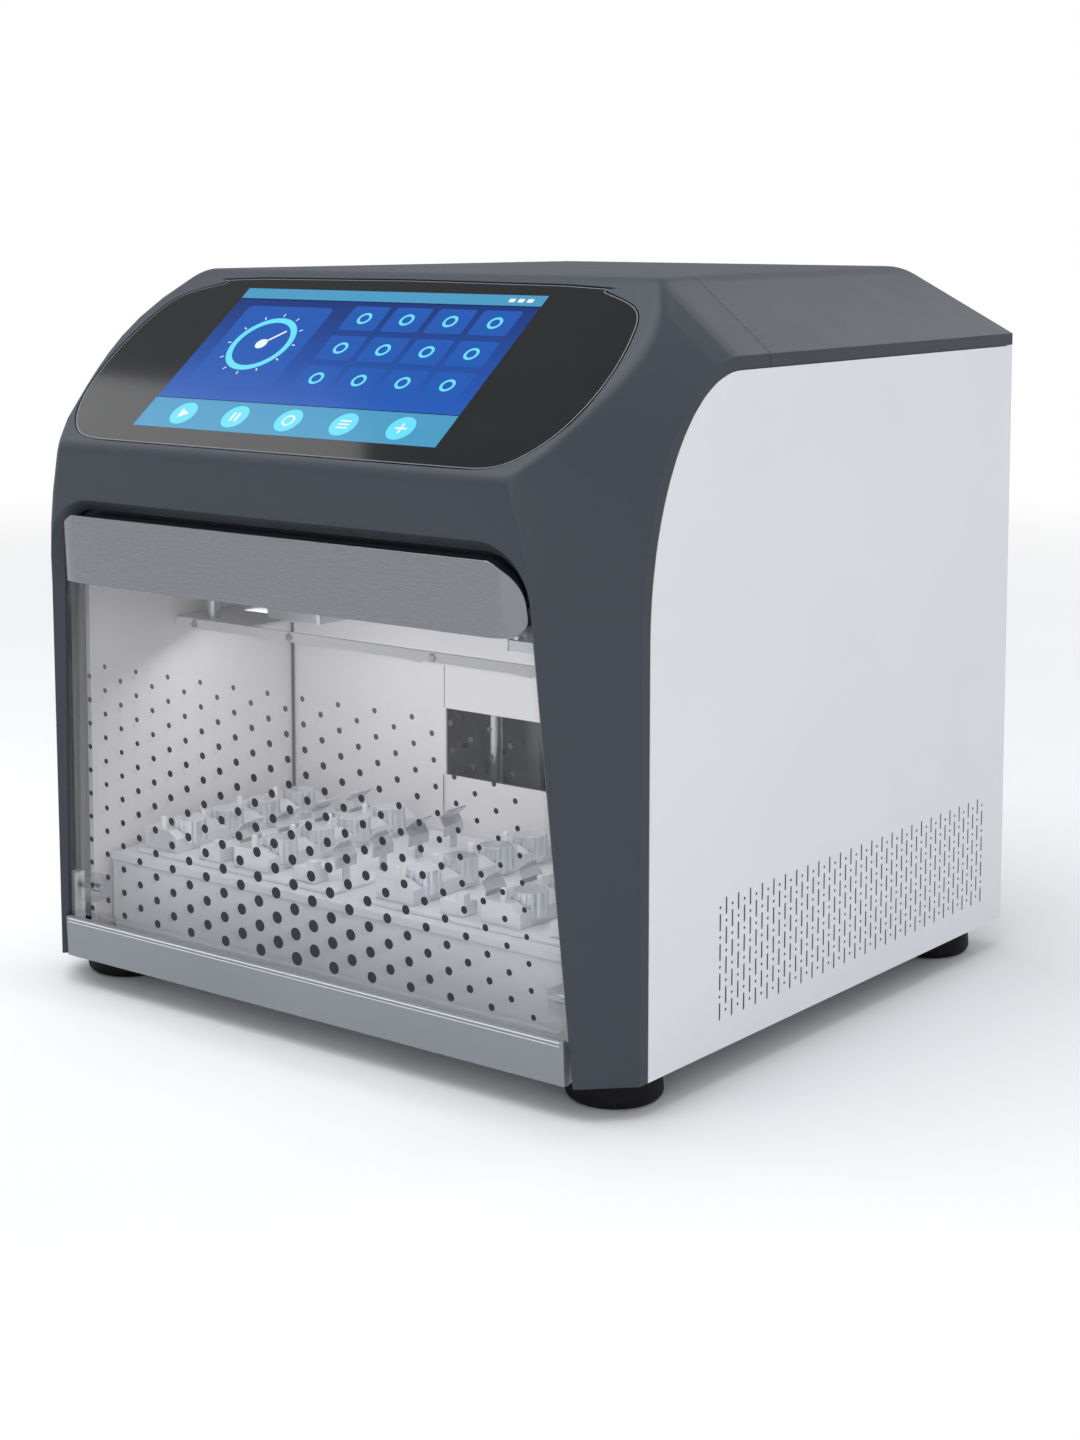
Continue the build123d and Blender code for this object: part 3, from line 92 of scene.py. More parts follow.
class ExtractorDoorSettings(bpy.types.PropertyGroup):
    """Printed dots and trim of the glass door."""
    lean: bpy.props.FloatProperty(name="Lean", description="Forward lean of the door",
                                  default=radians(2.9), subtype="ANGLE")
    plane_y: length("Plane", "Y of the door plane at floor level", -0.1938)
    columns: bpy.props.IntProperty(name="Columns", description="Columns of dots", default=25)
    rows: bpy.props.IntProperty(name="Rows", description="Dots in a column", default=11)
    pitch_x: length("Column pitch", "Distance between columns", 0.0138)
    pitch_y: length("Row pitch", "Distance between dots of a column", 0.0141)
    first_row: length("First row", "Height of the lowest row", 0.0500)
    small_dot: length("Small dot", "Diameter at the top", 0.0031)
    large_dot: length("Large dot", "Diameter at the bottom middle", 0.0078)
    dot_colour: colour("Dot colour", "Ink of the dots", (0.026, 0.027, 0.031))


class ExtractorVentSettings(bpy.types.PropertyGroup):
    """Punched vents of the side panels."""
    columns: bpy.props.IntProperty(name="Columns", description="Columns of vents", default=51)
    rows: bpy.props.IntProperty(name="Rows", description="Slots and dots in a column", default=8)
    pitch_y: length("Column pitch", "Distance between columns", 0.00580)
    pitch_z: length("Row pitch", "Half of the pattern's height", 0.00805)
    first_y: length("First column", "Y of the front column", -0.1010)
    first_z: length("First row", "Height of the lowest row", 0.0385)
    slot_length: length("Slot length", "Length of a slot", 0.0097)
    slot_width: length("Slot width", "Width of a slot", 0.0016)
    dot: length("Round hole", "Diameter of a round hole", 0.0019)


class ExtractorScreenSettings(bpy.types.PropertyGroup):
    """Lit screen on the sloped glass."""
    slope: bpy.props.FloatProperty(name="Slope", description="Slope of the screen",
                                   default=radians(38.0), subtype="ANGLE")
    foot_y: length("Foot Y", "Y of the screen's lower edge", -0.2020)
    foot_z: length("Foot Z", "Height of the screen's lower edge", 0.3390)
    width: length("Width", "Width of the lit area", 0.2227)
    height: length("Height", "Height of the lit area along the slope", 0.1210)
    offset: length("Offset", "Middle of the lit area, to the right", -0.0060)
    glow: bpy.props.FloatProperty(name="Glow", description="Strength of the lit colours",
                                  default=1.0)
    deep: colour("Deep blue", "Upper background", (0.004, 0.022, 0.150))
    bright: colour("Bright blue", "Lower background", (0.012, 0.120, 0.56))
    pale: colour("Pale blue", "Bar and buttons", (0.10, 0.50, 0.85))


class ExtractorFinishSettings(bpy.types.PropertyGroup):
    """Colours of the casing."""
    shell: colour("Shell", "Slate moulding", (0.040, 0.047, 0.061))
    panel: colour("Panel", "White side panels", (0.80, 0.795, 0.83))
    sill: colour("Sill", "Grey strip under the door", (0.24, 0.26, 0.285))
    handle: colour("Handle", "Metal bar of the door", (0.235, 0.245, 0.265))
    liner: colour("Liner", "Chamber walls", (0.74, 0.72, 0.735))


class ExtractorStageSettings(bpy.types.PropertyGroup):
    """Camera and lights."""
    camera_place: bpy.props.FloatVectorProperty(
        name="Camera", description="Place of the camera", default=(0.9257, -1.1762, 0.4592),
        subtype="XYZ", unit="LENGTH")
    azimuth: bpy.props.FloatProperty(name="Azimuth", description="Camera azimuth",
                                     default=radians(37.963), subtype="ANGLE")
    pitch: bpy.props.FloatProperty(name="Pitch", description="Camera looks down by this",
                                   default=radians(6.364), subtype="ANGLE")
    lens: bpy.props.FloatProperty(name="Lens", description="Focal length", default=62.693)
    shift_x: bpy.props.FloatProperty(name="Shift X", description="Lens shift", default=0.00824)
    shift_y: bpy.props.FloatProperty(name="Shift Y", description="Lens shift", default=-0.16)


SETTINGS = (("extractor_door", ExtractorDoorSettings), ("extractor_vents", ExtractorVentSettings),
            ("extractor_screen", ExtractorScreenSettings),
            ("extractor_finish", ExtractorFinishSettings),
            ("extractor_stage", ExtractorStageSettings))


# ------------------------------------------------------------------ material helpers
class Nodes:
    """A short way to build a material's node tree."""

    def __init__(self, name):
        self.material = bpy.data.materials.new(name)
        self.material.use_nodes = True
        self.tree = self.material.node_tree
        self.shader = self.tree.nodes["Principled BSDF"]
        self.output = self.tree.nodes["Material Output"]

    def add(self, kind, **values):
        node = self.tree.nodes.new(kind)
        for key, value in values.items():
            if key in node.inputs:
                node.inputs[key].default_value = value
            else:
                setattr(node, key, value)
        return node

    def link(self, a, b):
        self.tree.links.new(a, b)

    def place(self, scale=(1, 1, 1)):
        """Object coordinates, stretched."""
        coords = self.add("ShaderNodeTexCoord")
        mapping = self.add("ShaderNodeMapping")
        mapping.inputs["Scale"].default_value = scale
        self.link(coords.outputs["Object"], mapping.inputs["Vector"])
        return mapping.outputs["Vector"]

    def noise(self, scale, detail=3.0, stretch=(1, 1, 1)):
        node = self.add("ShaderNodeTexNoise")
        node.inputs["Scale"].default_value = scale
        node.inputs["Detail"].default_value = detail
        self.link(self.place(stretch), node.inputs["Vector"])
        return node.outputs["Fac"]

    def spread(self, value, low, high, from_low=0.3, from_high=0.7):
        """Maps a noise value onto a range."""
        node = self.add("ShaderNodeMapRange")
        node.inputs["From Min"].default_value = from_low
        node.inputs["From Max"].default_value = from_high
        node.inputs["To Min"].default_value = low
        node.inputs["To Max"].default_value = high
        self.link(value, node.inputs["Value"])
        return node.outputs["Result"]

    def tint(self, value, first, second):
        """Mixes two colours by a value."""
        node = self.add("ShaderNodeMix", data_type="RGBA")
        node.inputs["A"].default_value = (*first, 1)
        node.inputs["B"].default_value = (*second, 1)
        self.link(value, node.inputs["Factor"])
        return next(o for o in node.outputs if o.type == "RGBA")

    def bump(self, height, strength, distance):
        node = self.add("ShaderNodeBump")
        node.inputs["Strength"].default_value = strength
        node.inputs["Distance"].default_value = distance
        self.link(height, node.inputs["Height"])
        self.link(node.outputs["Normal"], self.shader.inputs["Normal"])

    def set(self, **values):
        names = {"base": "Base Color", "metallic": "Metallic", "roughness": "Roughness",
                 "emission": "Emission Color", "glow": "Emission Strength",
                 "specular": "Specular IOR Level"}
        for key, value in values.items():
            socket = self.shader.inputs[names[key]]
            socket.default_value = (*value, 1) if isinstance(value, tuple) else value
        return self


def shaded(rgb, factor):
    """A colour made lighter or darker."""
    return tuple(min(1.0, channel * factor) for channel in rgb)


def grained(name, rgb, roughness, grain=900.0, bump=0.25, metallic=0.0, cloud=0.05,
            stretch=(1, 1, 1), depth=0.00008, specular=0.5):
    """Painted, moulded or machined finish: faint clouding, roughness variation, fine grain."""
    m = Nodes(name).set(metallic=metallic, specular=specular)
    clouds = m.noise(9.0, 2.0)
    mixed = m.tint(m.spread(clouds, 0, 1), shaded(rgb, 1 - cloud), shaded(rgb, 1 + cloud))
    m.link(mixed, m.shader.inputs["Base Color"])
    m.link(m.spread(m.noise(40.0, 4.0), roughness - 0.015, roughness + 0.015),
           m.shader.inputs["Roughness"])
    m.bump(m.noise(grain, 2.0, stretch), bump, depth)
    return m.material


def brushed(name, rgb, roughness, stretch=(1, 60, 60), bump=0.35):
    """Metal with grain along X."""
    m = Nodes(name).set(metallic=1.0)
    streaks = m.noise(120.0, 4.0, stretch)
    mixed = m.tint(m.spread(streaks, 0, 1), shaded(rgb, 0.86), shaded(rgb, 1.12))
    m.link(mixed, m.shader.inputs["Base Color"])
    m.link(m.spread(streaks, roughness - 0.06, roughness + 0.08), m.shader.inputs["Roughness"])
    m.bump(streaks, bump, 0.00005)
    return m.material


def clear_glass(name, tint, share):
    """Thin clear sheet: mostly see-through, glossy at grazing angles."""
    m = Nodes(name)
    see_through = m.add("ShaderNodeBsdfTransparent")
    see_through.inputs["Color"].default_value = (*tint, 1)
    gloss = m.add("ShaderNodeBsdfGlossy")
    gloss.inputs["Roughness"].default_value = 0.03
    facing = m.add("ShaderNodeLayerWeight")
    facing.inputs["Blend"].default_value = 0.18
    level = m.spread(facing.outputs["Fresnel"], share, 0.6, 0.0, 1.0)
    mix = m.add("ShaderNodeMixShader")
    m.link(level, mix.inputs["Fac"])
    m.link(see_through.outputs["BSDF"], mix.inputs[1])
    m.link(gloss.outputs["BSDF"], mix.inputs[2])
    shadow = m.add("ShaderNodeLightPath")
    clear = m.add("ShaderNodeBsdfTransparent")
    last = m.add("ShaderNodeMixShader")
    m.link(shadow.outputs["Is Shadow Ray"], last.inputs["Fac"])
    m.link(mix.outputs["Shader"], last.inputs[1])
    m.link(clear.outputs["BSDF"], last.inputs[2])
    m.link(last.outputs["Shader"], m.output.inputs["Surface"])
    m.tree.nodes.remove(m.shader)
    return m.material


def lit(name, rgb, strength, gloss=0.12):
    """Colour that glows under glass."""
    m = Nodes(name).set(base=(0.0, 0.0, 0.0), roughness=gloss, emission=rgb, glow=strength,
                        specular=0.15)
    return m.material


# ------------------------------------------------------------------ mesh helpers
def finish_piece(obj, body, material, replaced=()):
    """Gives a piece its material and the body that it rides on."""
    obj.data.materials.clear()
    obj.data.materials.append(material)
    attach(obj, body)
    if replaced:
        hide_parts(*replaced)
    return obj


def mesh_object(name, bm):
    """A mesh object at the origin from a bmesh."""
    mesh = bpy.data.meshes.new(name)
    bm.to_mesh(mesh)
    bm.free()
    obj = bpy.data.objects.new(name, mesh)
    bpy.context.collection.objects.link(obj)
    return obj


def merged_copy(node, name, angle=radians(28), bevel=0.0):
    """A CAD node's shape with joined vertices, smooth over its curves."""
    bm = bmesh.new()
    bm.from_mesh(frame["nodes"][node].data)
    bmesh.ops.remove_doubles(bm, verts=bm.verts, dist=0.000002)
    bmesh.ops.dissolve_limit(bm, angle_limit=radians(0.3), verts=bm.verts, edges=bm.edges)
    for face in bm.faces:
        face.smooth = True
    for edge in bm.edges:
        edge.smooth = len(edge.link_faces) == 2 and edge.calc_face_angle(0.0) < angle
    obj = mesh_object(name, bm)
    if bevel:
        rounding = obj.modifiers.new("edges", "BEVEL")
        rounding.width = bevel
        rounding.segments = 2
        rounding.limit_method = "ANGLE"
        rounding.angle_limit = angle
        rounding.harden_normals = False
    return obj


def node_body(node):
    """Body that a CAD node rides on."""
    return next(body for body, nodes in frame["record"]["behaviour"]["bodies"].items()
                if node in nodes)


def paint(node, material):
    """Gives a CAD node's slots a material."""
    obj = frame["nodes"][node]
    if not obj.material_slots:
        obj.data.materials.append(material)
    for slot in obj.material_slots:
        slot.material = material


def door_matrix():
    """Door plane: local X right, Y up the door, Z out of it."""
    door = bpy.context.scene.extractor_door
    return (Matrix.Translation((0, door.plane_y, 0))
            @ Matrix.Rotation(pi / 2 + door.lean, 4, "X"))


def screen_matrix():
    """Screen slope: local X right, Y up the slope, Z out of it."""
    screen = bpy.context.scene.extractor_screen
    return (Matrix.Translation((0, screen.foot_y, screen.foot_z))
            @ Matrix.Rotation(screen.slope, 4, "X"))


def disc(centre, radius, count=32):
    """Points of a circle."""
    return [(centre[0] + radius * cos(2 * pi * i / count),
             centre[1] + radius * sin(2 * pi * i / count)) for i in range(count)]


def rounded_box(centre, width, height, radius, count=5):
    """Points of a rectangle with round corners."""
    points = []
    for corner in range(4):
        sx, sy = ((1, 1), (-1, 1), (-1, -1), (1, -1))[corner]
        cx = centre[0] + sx * (width / 2 - radius)
        cy = centre[1] + sy * (height / 2 - radius)
        for i in range(count + 1):
            angle = corner * pi / 2 + i * pi / 2 / count
            points.append((cx + radius * cos(angle), cy + radius * sin(angle)))
    return points


def arch(foot_half, foot, half, spring, radius, steps=8):
    """Outline of a sheet with a straight foot and two round upper corners."""
    corner = [(half - radius * (1 - cos(turn)), spring + radius * sin(turn))
              for turn in (step * pi / 2 / steps for step in range(steps + 1))]
    return ([(foot_half, foot)] + corner + [(-x, y) for x, y in reversed(corner)]
            + [(-foot_half, foot)])


def stroke(start, end, width):
    """Points of a straight line with a width."""
    dx, dy = end[0] - start[0], end[1] - start[1]
    size = hypot(dx, dy)
    nx, ny = -dy / size * width / 2, dx / size * width / 2
    return [(start[0] + nx, start[1] + ny), (start[0] - nx, start[1] - ny),
            (end[0] - nx, end[1] - ny), (end[0] + nx, end[1] + ny)]


def flat_shapes(name, matrix, lift, shapes=(), rings=()):
    """Flat faces on a plane: closed outlines, and rings of (centre, outer, inner)."""
    bm = bmesh.new()
    for outline in shapes:
        face = bm.faces.new([bm.verts.new((x, y, lift)) for x, y in outline])
        face.normal_update()
        if face.normal.z < 0:
            face.normal_flip()
    for centre, outer, inner in rings:
        big = [bm.verts.new((x, y, lift)) for x, y in disc(centre, outer, 64)]
        small = [bm.verts.new((x, y, lift)) for x, y in disc(centre, inner, 64)]
        for i in range(64):
            j = (i + 1) % 64
            bm.faces.new((big[i], big[j], small[j], small[i]))
    bm.transform(matrix)
    return mesh_object(name, bm)


# ------------------------------------------------------------------ node-made repeats
class Tree:
    """A geometry node tree with named inputs, ended by Realize Instances and Set Material."""

    def __init__(self, name):
        self.group = bpy.data.node_groups.new(name, "GeometryNodeTree")
        self.group.interface.new_socket("Geometry", in_out="OUTPUT",
                                        socket_type="NodeSocketGeometry")
        self.inputs = self.group.nodes.new("NodeGroupInput")
        self.outputs = self.group.nodes.new("NodeGroupOutput")
        self.values = {}

    def value(self, name, kind, default):
        self.group.interface.new_socket(name, in_out="INPUT", socket_type=f"NodeSocket{kind}")
        self.values[name] = default
        return self.inputs.outputs[name]

    def add(self, kind, **options):
        node = self.group.nodes.new(kind)
        for key, value in options.items():
            setattr(node, key, value)
        return node

    def link(self, a, b):
        self.group.links.new(a, b)

    def math(self, operation, a, b=None, c=None):
        node = self.add("ShaderNodeMath", operation=operation)
        for index, source in enumerate((a, b, c)):
            if source is None:
                continue
            if isinstance(source, (int, float)):
                node.inputs[index].default_value = source
            else:
                self.link(source, node.inputs[index])
        return node.outputs[0]

    def vector(self, x, y, z):
        node = self.add("ShaderNodeCombineXYZ")
        for index, source in enumerate((x, y, z)):
            if isinstance(source, (int, float)):
                node.inputs[index].default_value = source
            else:
                self.link(source, node.inputs[index])
        return node.outputs[0]

    def finish(self, geometry, material):
        realize = self.add("GeometryNodeRealizeInstances")
        paint_node = self.add("GeometryNodeSetMaterial")
        paint_node.inputs["Material"].default_value = material
        self.link(geometry, realize.inputs[0])
        self.link(realize.outputs[0], paint_node.inputs["Geometry"])
        self.link(paint_node.outputs[0], self.outputs.inputs[0])

    def bake(self, name, matrix):
        """Runs the tree on an empty mesh and returns a plain mesh object, placed by a matrix."""
        holder = bpy.data.objects.new(name + "_holder", bpy.data.meshes.new(name + "_holder"))
        bpy.context.collection.objects.link(holder)
        modifier = holder.modifiers.new("repeat", "NODES")
        modifier.node_group = self.group
        for item in self.group.interface.items_tree:
            if item.in_out == "INPUT" and item.name in self.values:
                modifier[item.identifier] = self.values[item.name]
        evaluated = holder.evaluated_get(bpy.context.evaluated_depsgraph_get())
        mesh = bpy.data.meshes.new_from_object(evaluated)
        mesh.transform(matrix)
        mesh.name = name
        bpy.data.objects.remove(holder)
        obj = bpy.data.objects.new(name, mesh)
        bpy.context.collection.objects.link(obj)
        return obj


def grid_points(tree, columns, rows):
    """Points numbered column by column, with their column, row and the middle column."""
    points = tree.add("GeometryNodePoints")
    tree.link(tree.math("MULTIPLY", columns, rows), points.inputs["Count"])
    index = tree.add("GeometryNodeInputIndex").outputs[0]
    column = tree.math("FLOOR", tree.math("DIVIDE", tree.math("ADD", index, 0.5), rows))
    row = tree.math("SUBTRACT", index, tree.math("MULTIPLY", column, rows))
    middle = tree.math("DIVIDE", tree.math("SUBTRACT", columns, 1), 2)
    return points.outputs[0], column, row, middle


def prism(tree, sides, radius, depth):
    """A closed prism about local Z."""
    cylinder = tree.add("GeometryNodeMeshCylinder")
    cylinder.inputs["Vertices"].default_value = sides
    tree.link(radius, cylinder.inputs["Radius"])
    tree.link(depth, cylinder.inputs["Depth"])
    return cylinder.outputs["Mesh"]


def scatter(tree, points, shape, selection=None, scale=None, turn=None):
    """Instances of a shape on points."""
    node = tree.add("GeometryNodeInstanceOnPoints")
    tree.link(points, node.inputs["Points"])
    tree.link(shape, node.inputs["Instance"])
    for source, socket in ((selection, "Selection"), (scale, "Scale"), (turn, "Rotation")):
        if source is not None:
            tree.link(source, node.inputs[socket])
    return node.outputs[0]


def moved(tree, points, position):
    """Points at a new place."""
    node = tree.add("GeometryNodeSetPosition")
    tree.link(points, node.inputs["Geometry"])
    tree.link(position, node.inputs["Position"])
    return node.outputs[0]


def joined(tree, *parts):
    """Several geometries as one."""
    node = tree.add("GeometryNodeJoinGeometry")
    for part in parts:
        tree.link(part, node.inputs[0])
    return node.outputs[0]


def dot_print(material):
    """The dots of the door print, in the door plane."""
    door = bpy.context.scene.extractor_door
    tree = Tree("door_dots")
    columns = tree.value("Columns", "Int", door.columns)
    rows = tree.value("Rows", "Int", door.rows)
    pitch_x = tree.value("Column pitch", "Float", door.pitch_x)
    pitch_y = tree.value("Row pitch", "Float", door.pitch_y)
    first_row = tree.value("First row", "Float", door.first_row)
    small = tree.value("Small dot", "Float", door.small_dot)
    large = tree.value("Large dot", "Float", door.large_dot)
    points, column, row, half = grid_points(tree, columns, rows)
    odd = tree.math("MODULO", column, 2)
    height = tree.math("ADD", first_row, tree.math(
        "MULTIPLY", pitch_y, tree.math("ADD", row, tree.math("MULTIPLY", odd, 0.5))))
    narrowing = tree.math("SUBTRACT", DOT_SPREAD,
                          tree.math("MULTIPLY", height, DOT_NARROWING))
    across = tree.math("MULTIPLY", tree.math("MULTIPLY", tree.math("SUBTRACT", column, half),
                                             pitch_x), narrowing)
    out = tree.math("DIVIDE", across, DOT_REACH[0])
    up = tree.math("DIVIDE", tree.math("SUBTRACT", height, first_row), DOT_REACH[1])
    reach = tree.math("SQRT", tree.math("ADD", tree.math("MULTIPLY", out, out),
                                        tree.math("MULTIPLY", up, up)))
    share = tree.math("MAXIMUM", tree.math("SUBTRACT", 1.0, reach), 0.0)
    size = tree.math("ADD", small, tree.math("MULTIPLY", share,
                                             tree.math("SUBTRACT", large, small)))
    disc_node = tree.add("GeometryNodeMeshCircle", fill_type="NGON")
    disc_node.inputs["Vertices"].default_value = 28
    disc_node.inputs["Radius"].default_value = 0.5
    placed = moved(tree, points, tree.vector(across, height, DOT_LIFT))
    dots = scatter(tree, placed, disc_node.outputs["Mesh"], scale=tree.vector(size, size, 1.0))
    tree.finish(dots, material)
    return tree.bake("door_dots", door_matrix())


def vent_cutters(material, side):
    """Prisms that cut the vents of one side panel."""
    vents = bpy.context.scene.extractor_vents
    tree = Tree("vents")
    columns = tree.value("Columns", "Int", vents.columns)
    rows = tree.value("Rows", "Int", vents.rows)
    pitch_y = tree.value("Column pitch", "Float", vents.pitch_y)
    pitch_z = tree.value("Row pitch", "Float", vents.pitch_z)
    slot_length = tree.value("Slot length", "Float", vents.slot_length)
    slot_width = tree.value("Slot width", "Float", vents.slot_width)
    dot = tree.value("Round hole", "Float", vents.dot)
    depth = tree.value("Depth", "Float", CUTTER_DEPTH)
    points, column, row, _ = grid_points(tree, columns, rows)
    placed = moved(tree, points, tree.vector(tree.math("MULTIPLY", column, pitch_y),
                                             tree.math("MULTIPLY", row, pitch_z), 0.0))
    is_dot = tree.math("MODULO", tree.math("ADD", column, row), 2)
    is_slot = tree.math("SUBTRACT", 1.0, is_dot)
    end = prism(tree, 10, tree.math("DIVIDE", slot_width, 2), depth)
    reach = tree.math("DIVIDE", tree.math("SUBTRACT", slot_length, slot_width), 2)
    ends = []
    for direction in (-1, 1):
        shift = tree.add("GeometryNodeTransform")
        tree.link(end, shift.inputs["Geometry"])
        tree.link(tree.vector(0.0, tree.math("MULTIPLY", reach, direction), 0.0),
                  shift.inputs["Translation"])
        ends.append(shift.outputs[0])
    hull = tree.add("GeometryNodeConvexHull")
    tree.link(joined(tree, *ends), hull.inputs[0])
    hole = prism(tree, 12, tree.math("DIVIDE", dot, 2), depth)
    tree.finish(joined(tree, scatter(tree, placed, hull.outputs[0], selection=is_slot),
                       scatter(tree, placed, hole, selection=is_dot)), material)
    matrix = Matrix(((0, 0, 1, side * CUTTER_X), (1, 0, 0, vents.first_y), (0, 1, 0, vents.first_z),
                     (0, 0, 0, 1)))
    return tree.bake("vent_cutters", matrix)


def screw_heads(name, places, matrix, head, material):
    """Low round screw heads on a plane."""
    tree = Tree(name)
    radius = tree.value("Head radius", "Float", head)
    height = tree.value("Head height", "Float", head * 0.45)
    line = tree.add("GeometryNodePoints")
    line.inputs["Count"].default_value = len(places)
    index = tree.add("GeometryNodeInputIndex")
    across = upward = None
    for number, (x, y) in enumerate(places):
        chosen = tree.math("COMPARE", index.outputs[0], number, 0.5)
        dx, dy = tree.math("MULTIPLY", chosen, x), tree.math("MULTIPLY", chosen, y)
        across = dx if across is None else tree.math("ADD", across, dx)
        upward = dy if upward is None else tree.math("ADD", upward, dy)
    placed = moved(tree, line.outputs[0], tree.vector(across, upward, 0.0))
    cone = tree.add("GeometryNodeMeshCone")
    cone.inputs["Vertices"].default_value = 20
    tree.link(tree.math("MULTIPLY", radius, 0.72), cone.inputs["Radius Top"])
    tree.link(radius, cone.inputs["Radius Bottom"])
    tree.link(height, cone.inputs["Depth"])
    heads = scatter(tree, placed, cone.outputs["Mesh"])
    tree.finish(heads, material)
    return tree.bake(name, matrix)


def redress(node, name, material, angle=radians(28), bevel=0.0):
    """A smooth copy of a CAD node that stands for it."""
    obj = merged_copy(node, name, angle, bevel)
    return finish_piece(obj, node_body(node), material, (node,))


# ------------------------------------------------------------------ operators
class ExtractorFinishes(bpy.types.Operator):
    """Gives every piece of the frame its finish"""
    bl_idname = "extractor.finishes"
    bl_label = "Finishes"

    def execute(self, context):
        finish = context.scene.extractor_finish
        zinc = grained("Zinc plated sheet", (0.50, 0.52, 0.55), 0.36, 220.0, 0.3, 1.0, 0.12)
        steel = brushed("Ground steel", (0.62, 0.63, 0.65), 0.2, (60, 60, 2))
        alu = grained("Milled aluminium", (0.62, 0.64, 0.66), 0.34, 700.0, 0.3, 1.0, 0.06,
                      (1, 8, 1))
        black = grained("Black moulding", (0.018, 0.018, 0.020), 0.45, 1200.0, 0.35)
        brass = grained("Turned brass", (0.60, 0.42, 0.16), 0.3, 500.0, 0.3, 1.0)
        liner = grained("Chamber enamel", tuple(finish.liner), 0.38, 500.0, 0.12, 0.0, 0.02)
        white = grained("White moulding", (0.72, 0.71, 0.70), 0.4, 900.0, 0.15)
        green = grained("Circuit board", (0.02, 0.14, 0.05), 0.4, 300.0, 0.3, 0.0, 0.2)
        rear = grained("Rear panel paint", (0.60, 0.60, 0.62), 0.5, 800.0, 0.3, 0.0, 0.012)
        groups = {
            zinc: ("base_pan", "top_deck", "bench_posts", "ceiling_standoffs", "drive_frame",
                   "display_bracket", "power_supply", "foot_screws", "rear_screws"),
            steel: ("guide_shafts", "lift_screw", "rod_screw", "comb_posts", "magnet_rods",
                    "hinge_pins", "fan_guard", "usb_port"),
            alu: ("screw_coupling", "head_carriage", "comb_holders", "rod_plate"),
            black: ("lift_motor", "rod_motor", "fan_frame", "fan_rotor", "power_inlet",
                    "switch_housing", "rocker_switch", "display_panel"),
            brass: ("lift_nut", "rod_nut", "board_posts"),
            liner: ("liner_left", "liner_right", "liner_back", "hinge_blocks"),
            clear_glass("Clear acrylic", (0.93, 0.94, 0.95), 0.06): ("hinge_knuckles",),
            white: ("lamp_holders",),
            green: ("control_board",),
            rear: ("rear_panel",),
        }
        for material, nodes in groups.items():
            for node in nodes:
                paint(node, material)
        lamp = Nodes("Lamp glass").set(roughness=0.3, emission=(1.0, 0.98, 0.97), glow=2.0)
        frost = lamp.tint(lamp.spread(lamp.noise(60.0), 0, 1), (0.86, 0.86, 0.88),
                          (0.95, 0.95, 0.95))
        lamp.link(frost, lamp.shader.inputs["Base Color"])
        paint("lamp_tube", lamp.material)
        return {"FINISHED"}


class ExtractorCasing(bpy.types.Operator):
    """Smooth shell, roof, sill and feet"""
    bl_idname = "extractor.casing"
    bl_label = "Casing"

    def execute(self, context):
        finish = context.scene.extractor_finish
        shell = grained("Slate shell", tuple(finish.shell), 0.45, 1500.0, 0.35, 0.0, 0.012,
                        specular=0.3)
        for node in CASING:
            redress(node, node + "_smooth", shell)
        sill = grained("Grey sill paint", tuple(finish.sill), 0.36, 1400.0, 0.2, 0.3, 0.03)
        redress("front_sill", "sill_strip", sill, bevel=0.0004)
        rubber = grained("Foot rubber", (0.006, 0.006, 0.007), 0.6, 700.0, 0.5, 0.0, 0.1,
                         specular=0.15)
        redress("feet", "rubber_feet", rubber)
        # Thin bright strips along the sill's lip: painted highlight
        bright = brushed("Sill lip highlight", (0.75, 0.77, 0.80), 0.22)
        lip = flat_shapes("sill_highlight_lines", door_matrix(), 0.0031, [
            [(-0.183, low), (0.183, low), (0.183, high), (-0.183, high)]
            for low, high in ((0.0408, 0.0416), (0.0390, 0.0395))])
        finish_piece(lip, "cabinet", bright)
        return {"FINISHED"}


class ExtractorPanels(bpy.types.Operator):
    """White side panels with punched vents and painted shade behind them"""
    bl_idname = "extractor.panels"
    bl_label = "Side panels"

    def execute(self, context):
        finish = context.scene.extractor_finish
        white = grained("White powder coat", tuple(finish.panel), 0.42, 1100.0, 0.3, 0.0, 0.015)
        # Dark sheet behind the vents: painted shade inside the holes
        dark = grained("Vent shade sheet", (0.02, 0.021, 0.024), 0.8, 2500.0, 0.6, 0.0, 0.2)
        for side, word in ((-1, "left"), (1, "right")):
            node = "side_panel_" + word
            panel = merged_copy(node, "white_panel_" + word)
            cutters = vent_cutters(white, side)
            cut = panel.modifiers.new("vents", "BOOLEAN")
            cut.operation = "DIFFERENCE"
            cut.solver = "EXACT"
            cut.object = cutters
            evaluated = panel.evaluated_get(context.evaluated_depsgraph_get())
            mesh = bpy.data.meshes.new_from_object(evaluated)
            panel.modifiers.clear()
            bpy.data.objects.remove(cutters)
            panel.data = mesh
            if len(mesh.polygons) < 2000:
                raise RuntimeError("the vents were not cut")
            finish_piece(panel, "cabinet", white, (node,))
            bm = bmesh.new()
            corners = [bm.verts.new((side * VENT_SHADE_X, y, z)) for y, z in VENT_SHADE_FIELD]
            face = bm.faces.new(corners if side > 0 else corners[::-1])
            face.normal_update()
            shade_sheet = mesh_object("vent_shade_sheet_" + word, bm)
            finish_piece(shade_sheet, "cabinet", dark)
        return {"FINISHED"}


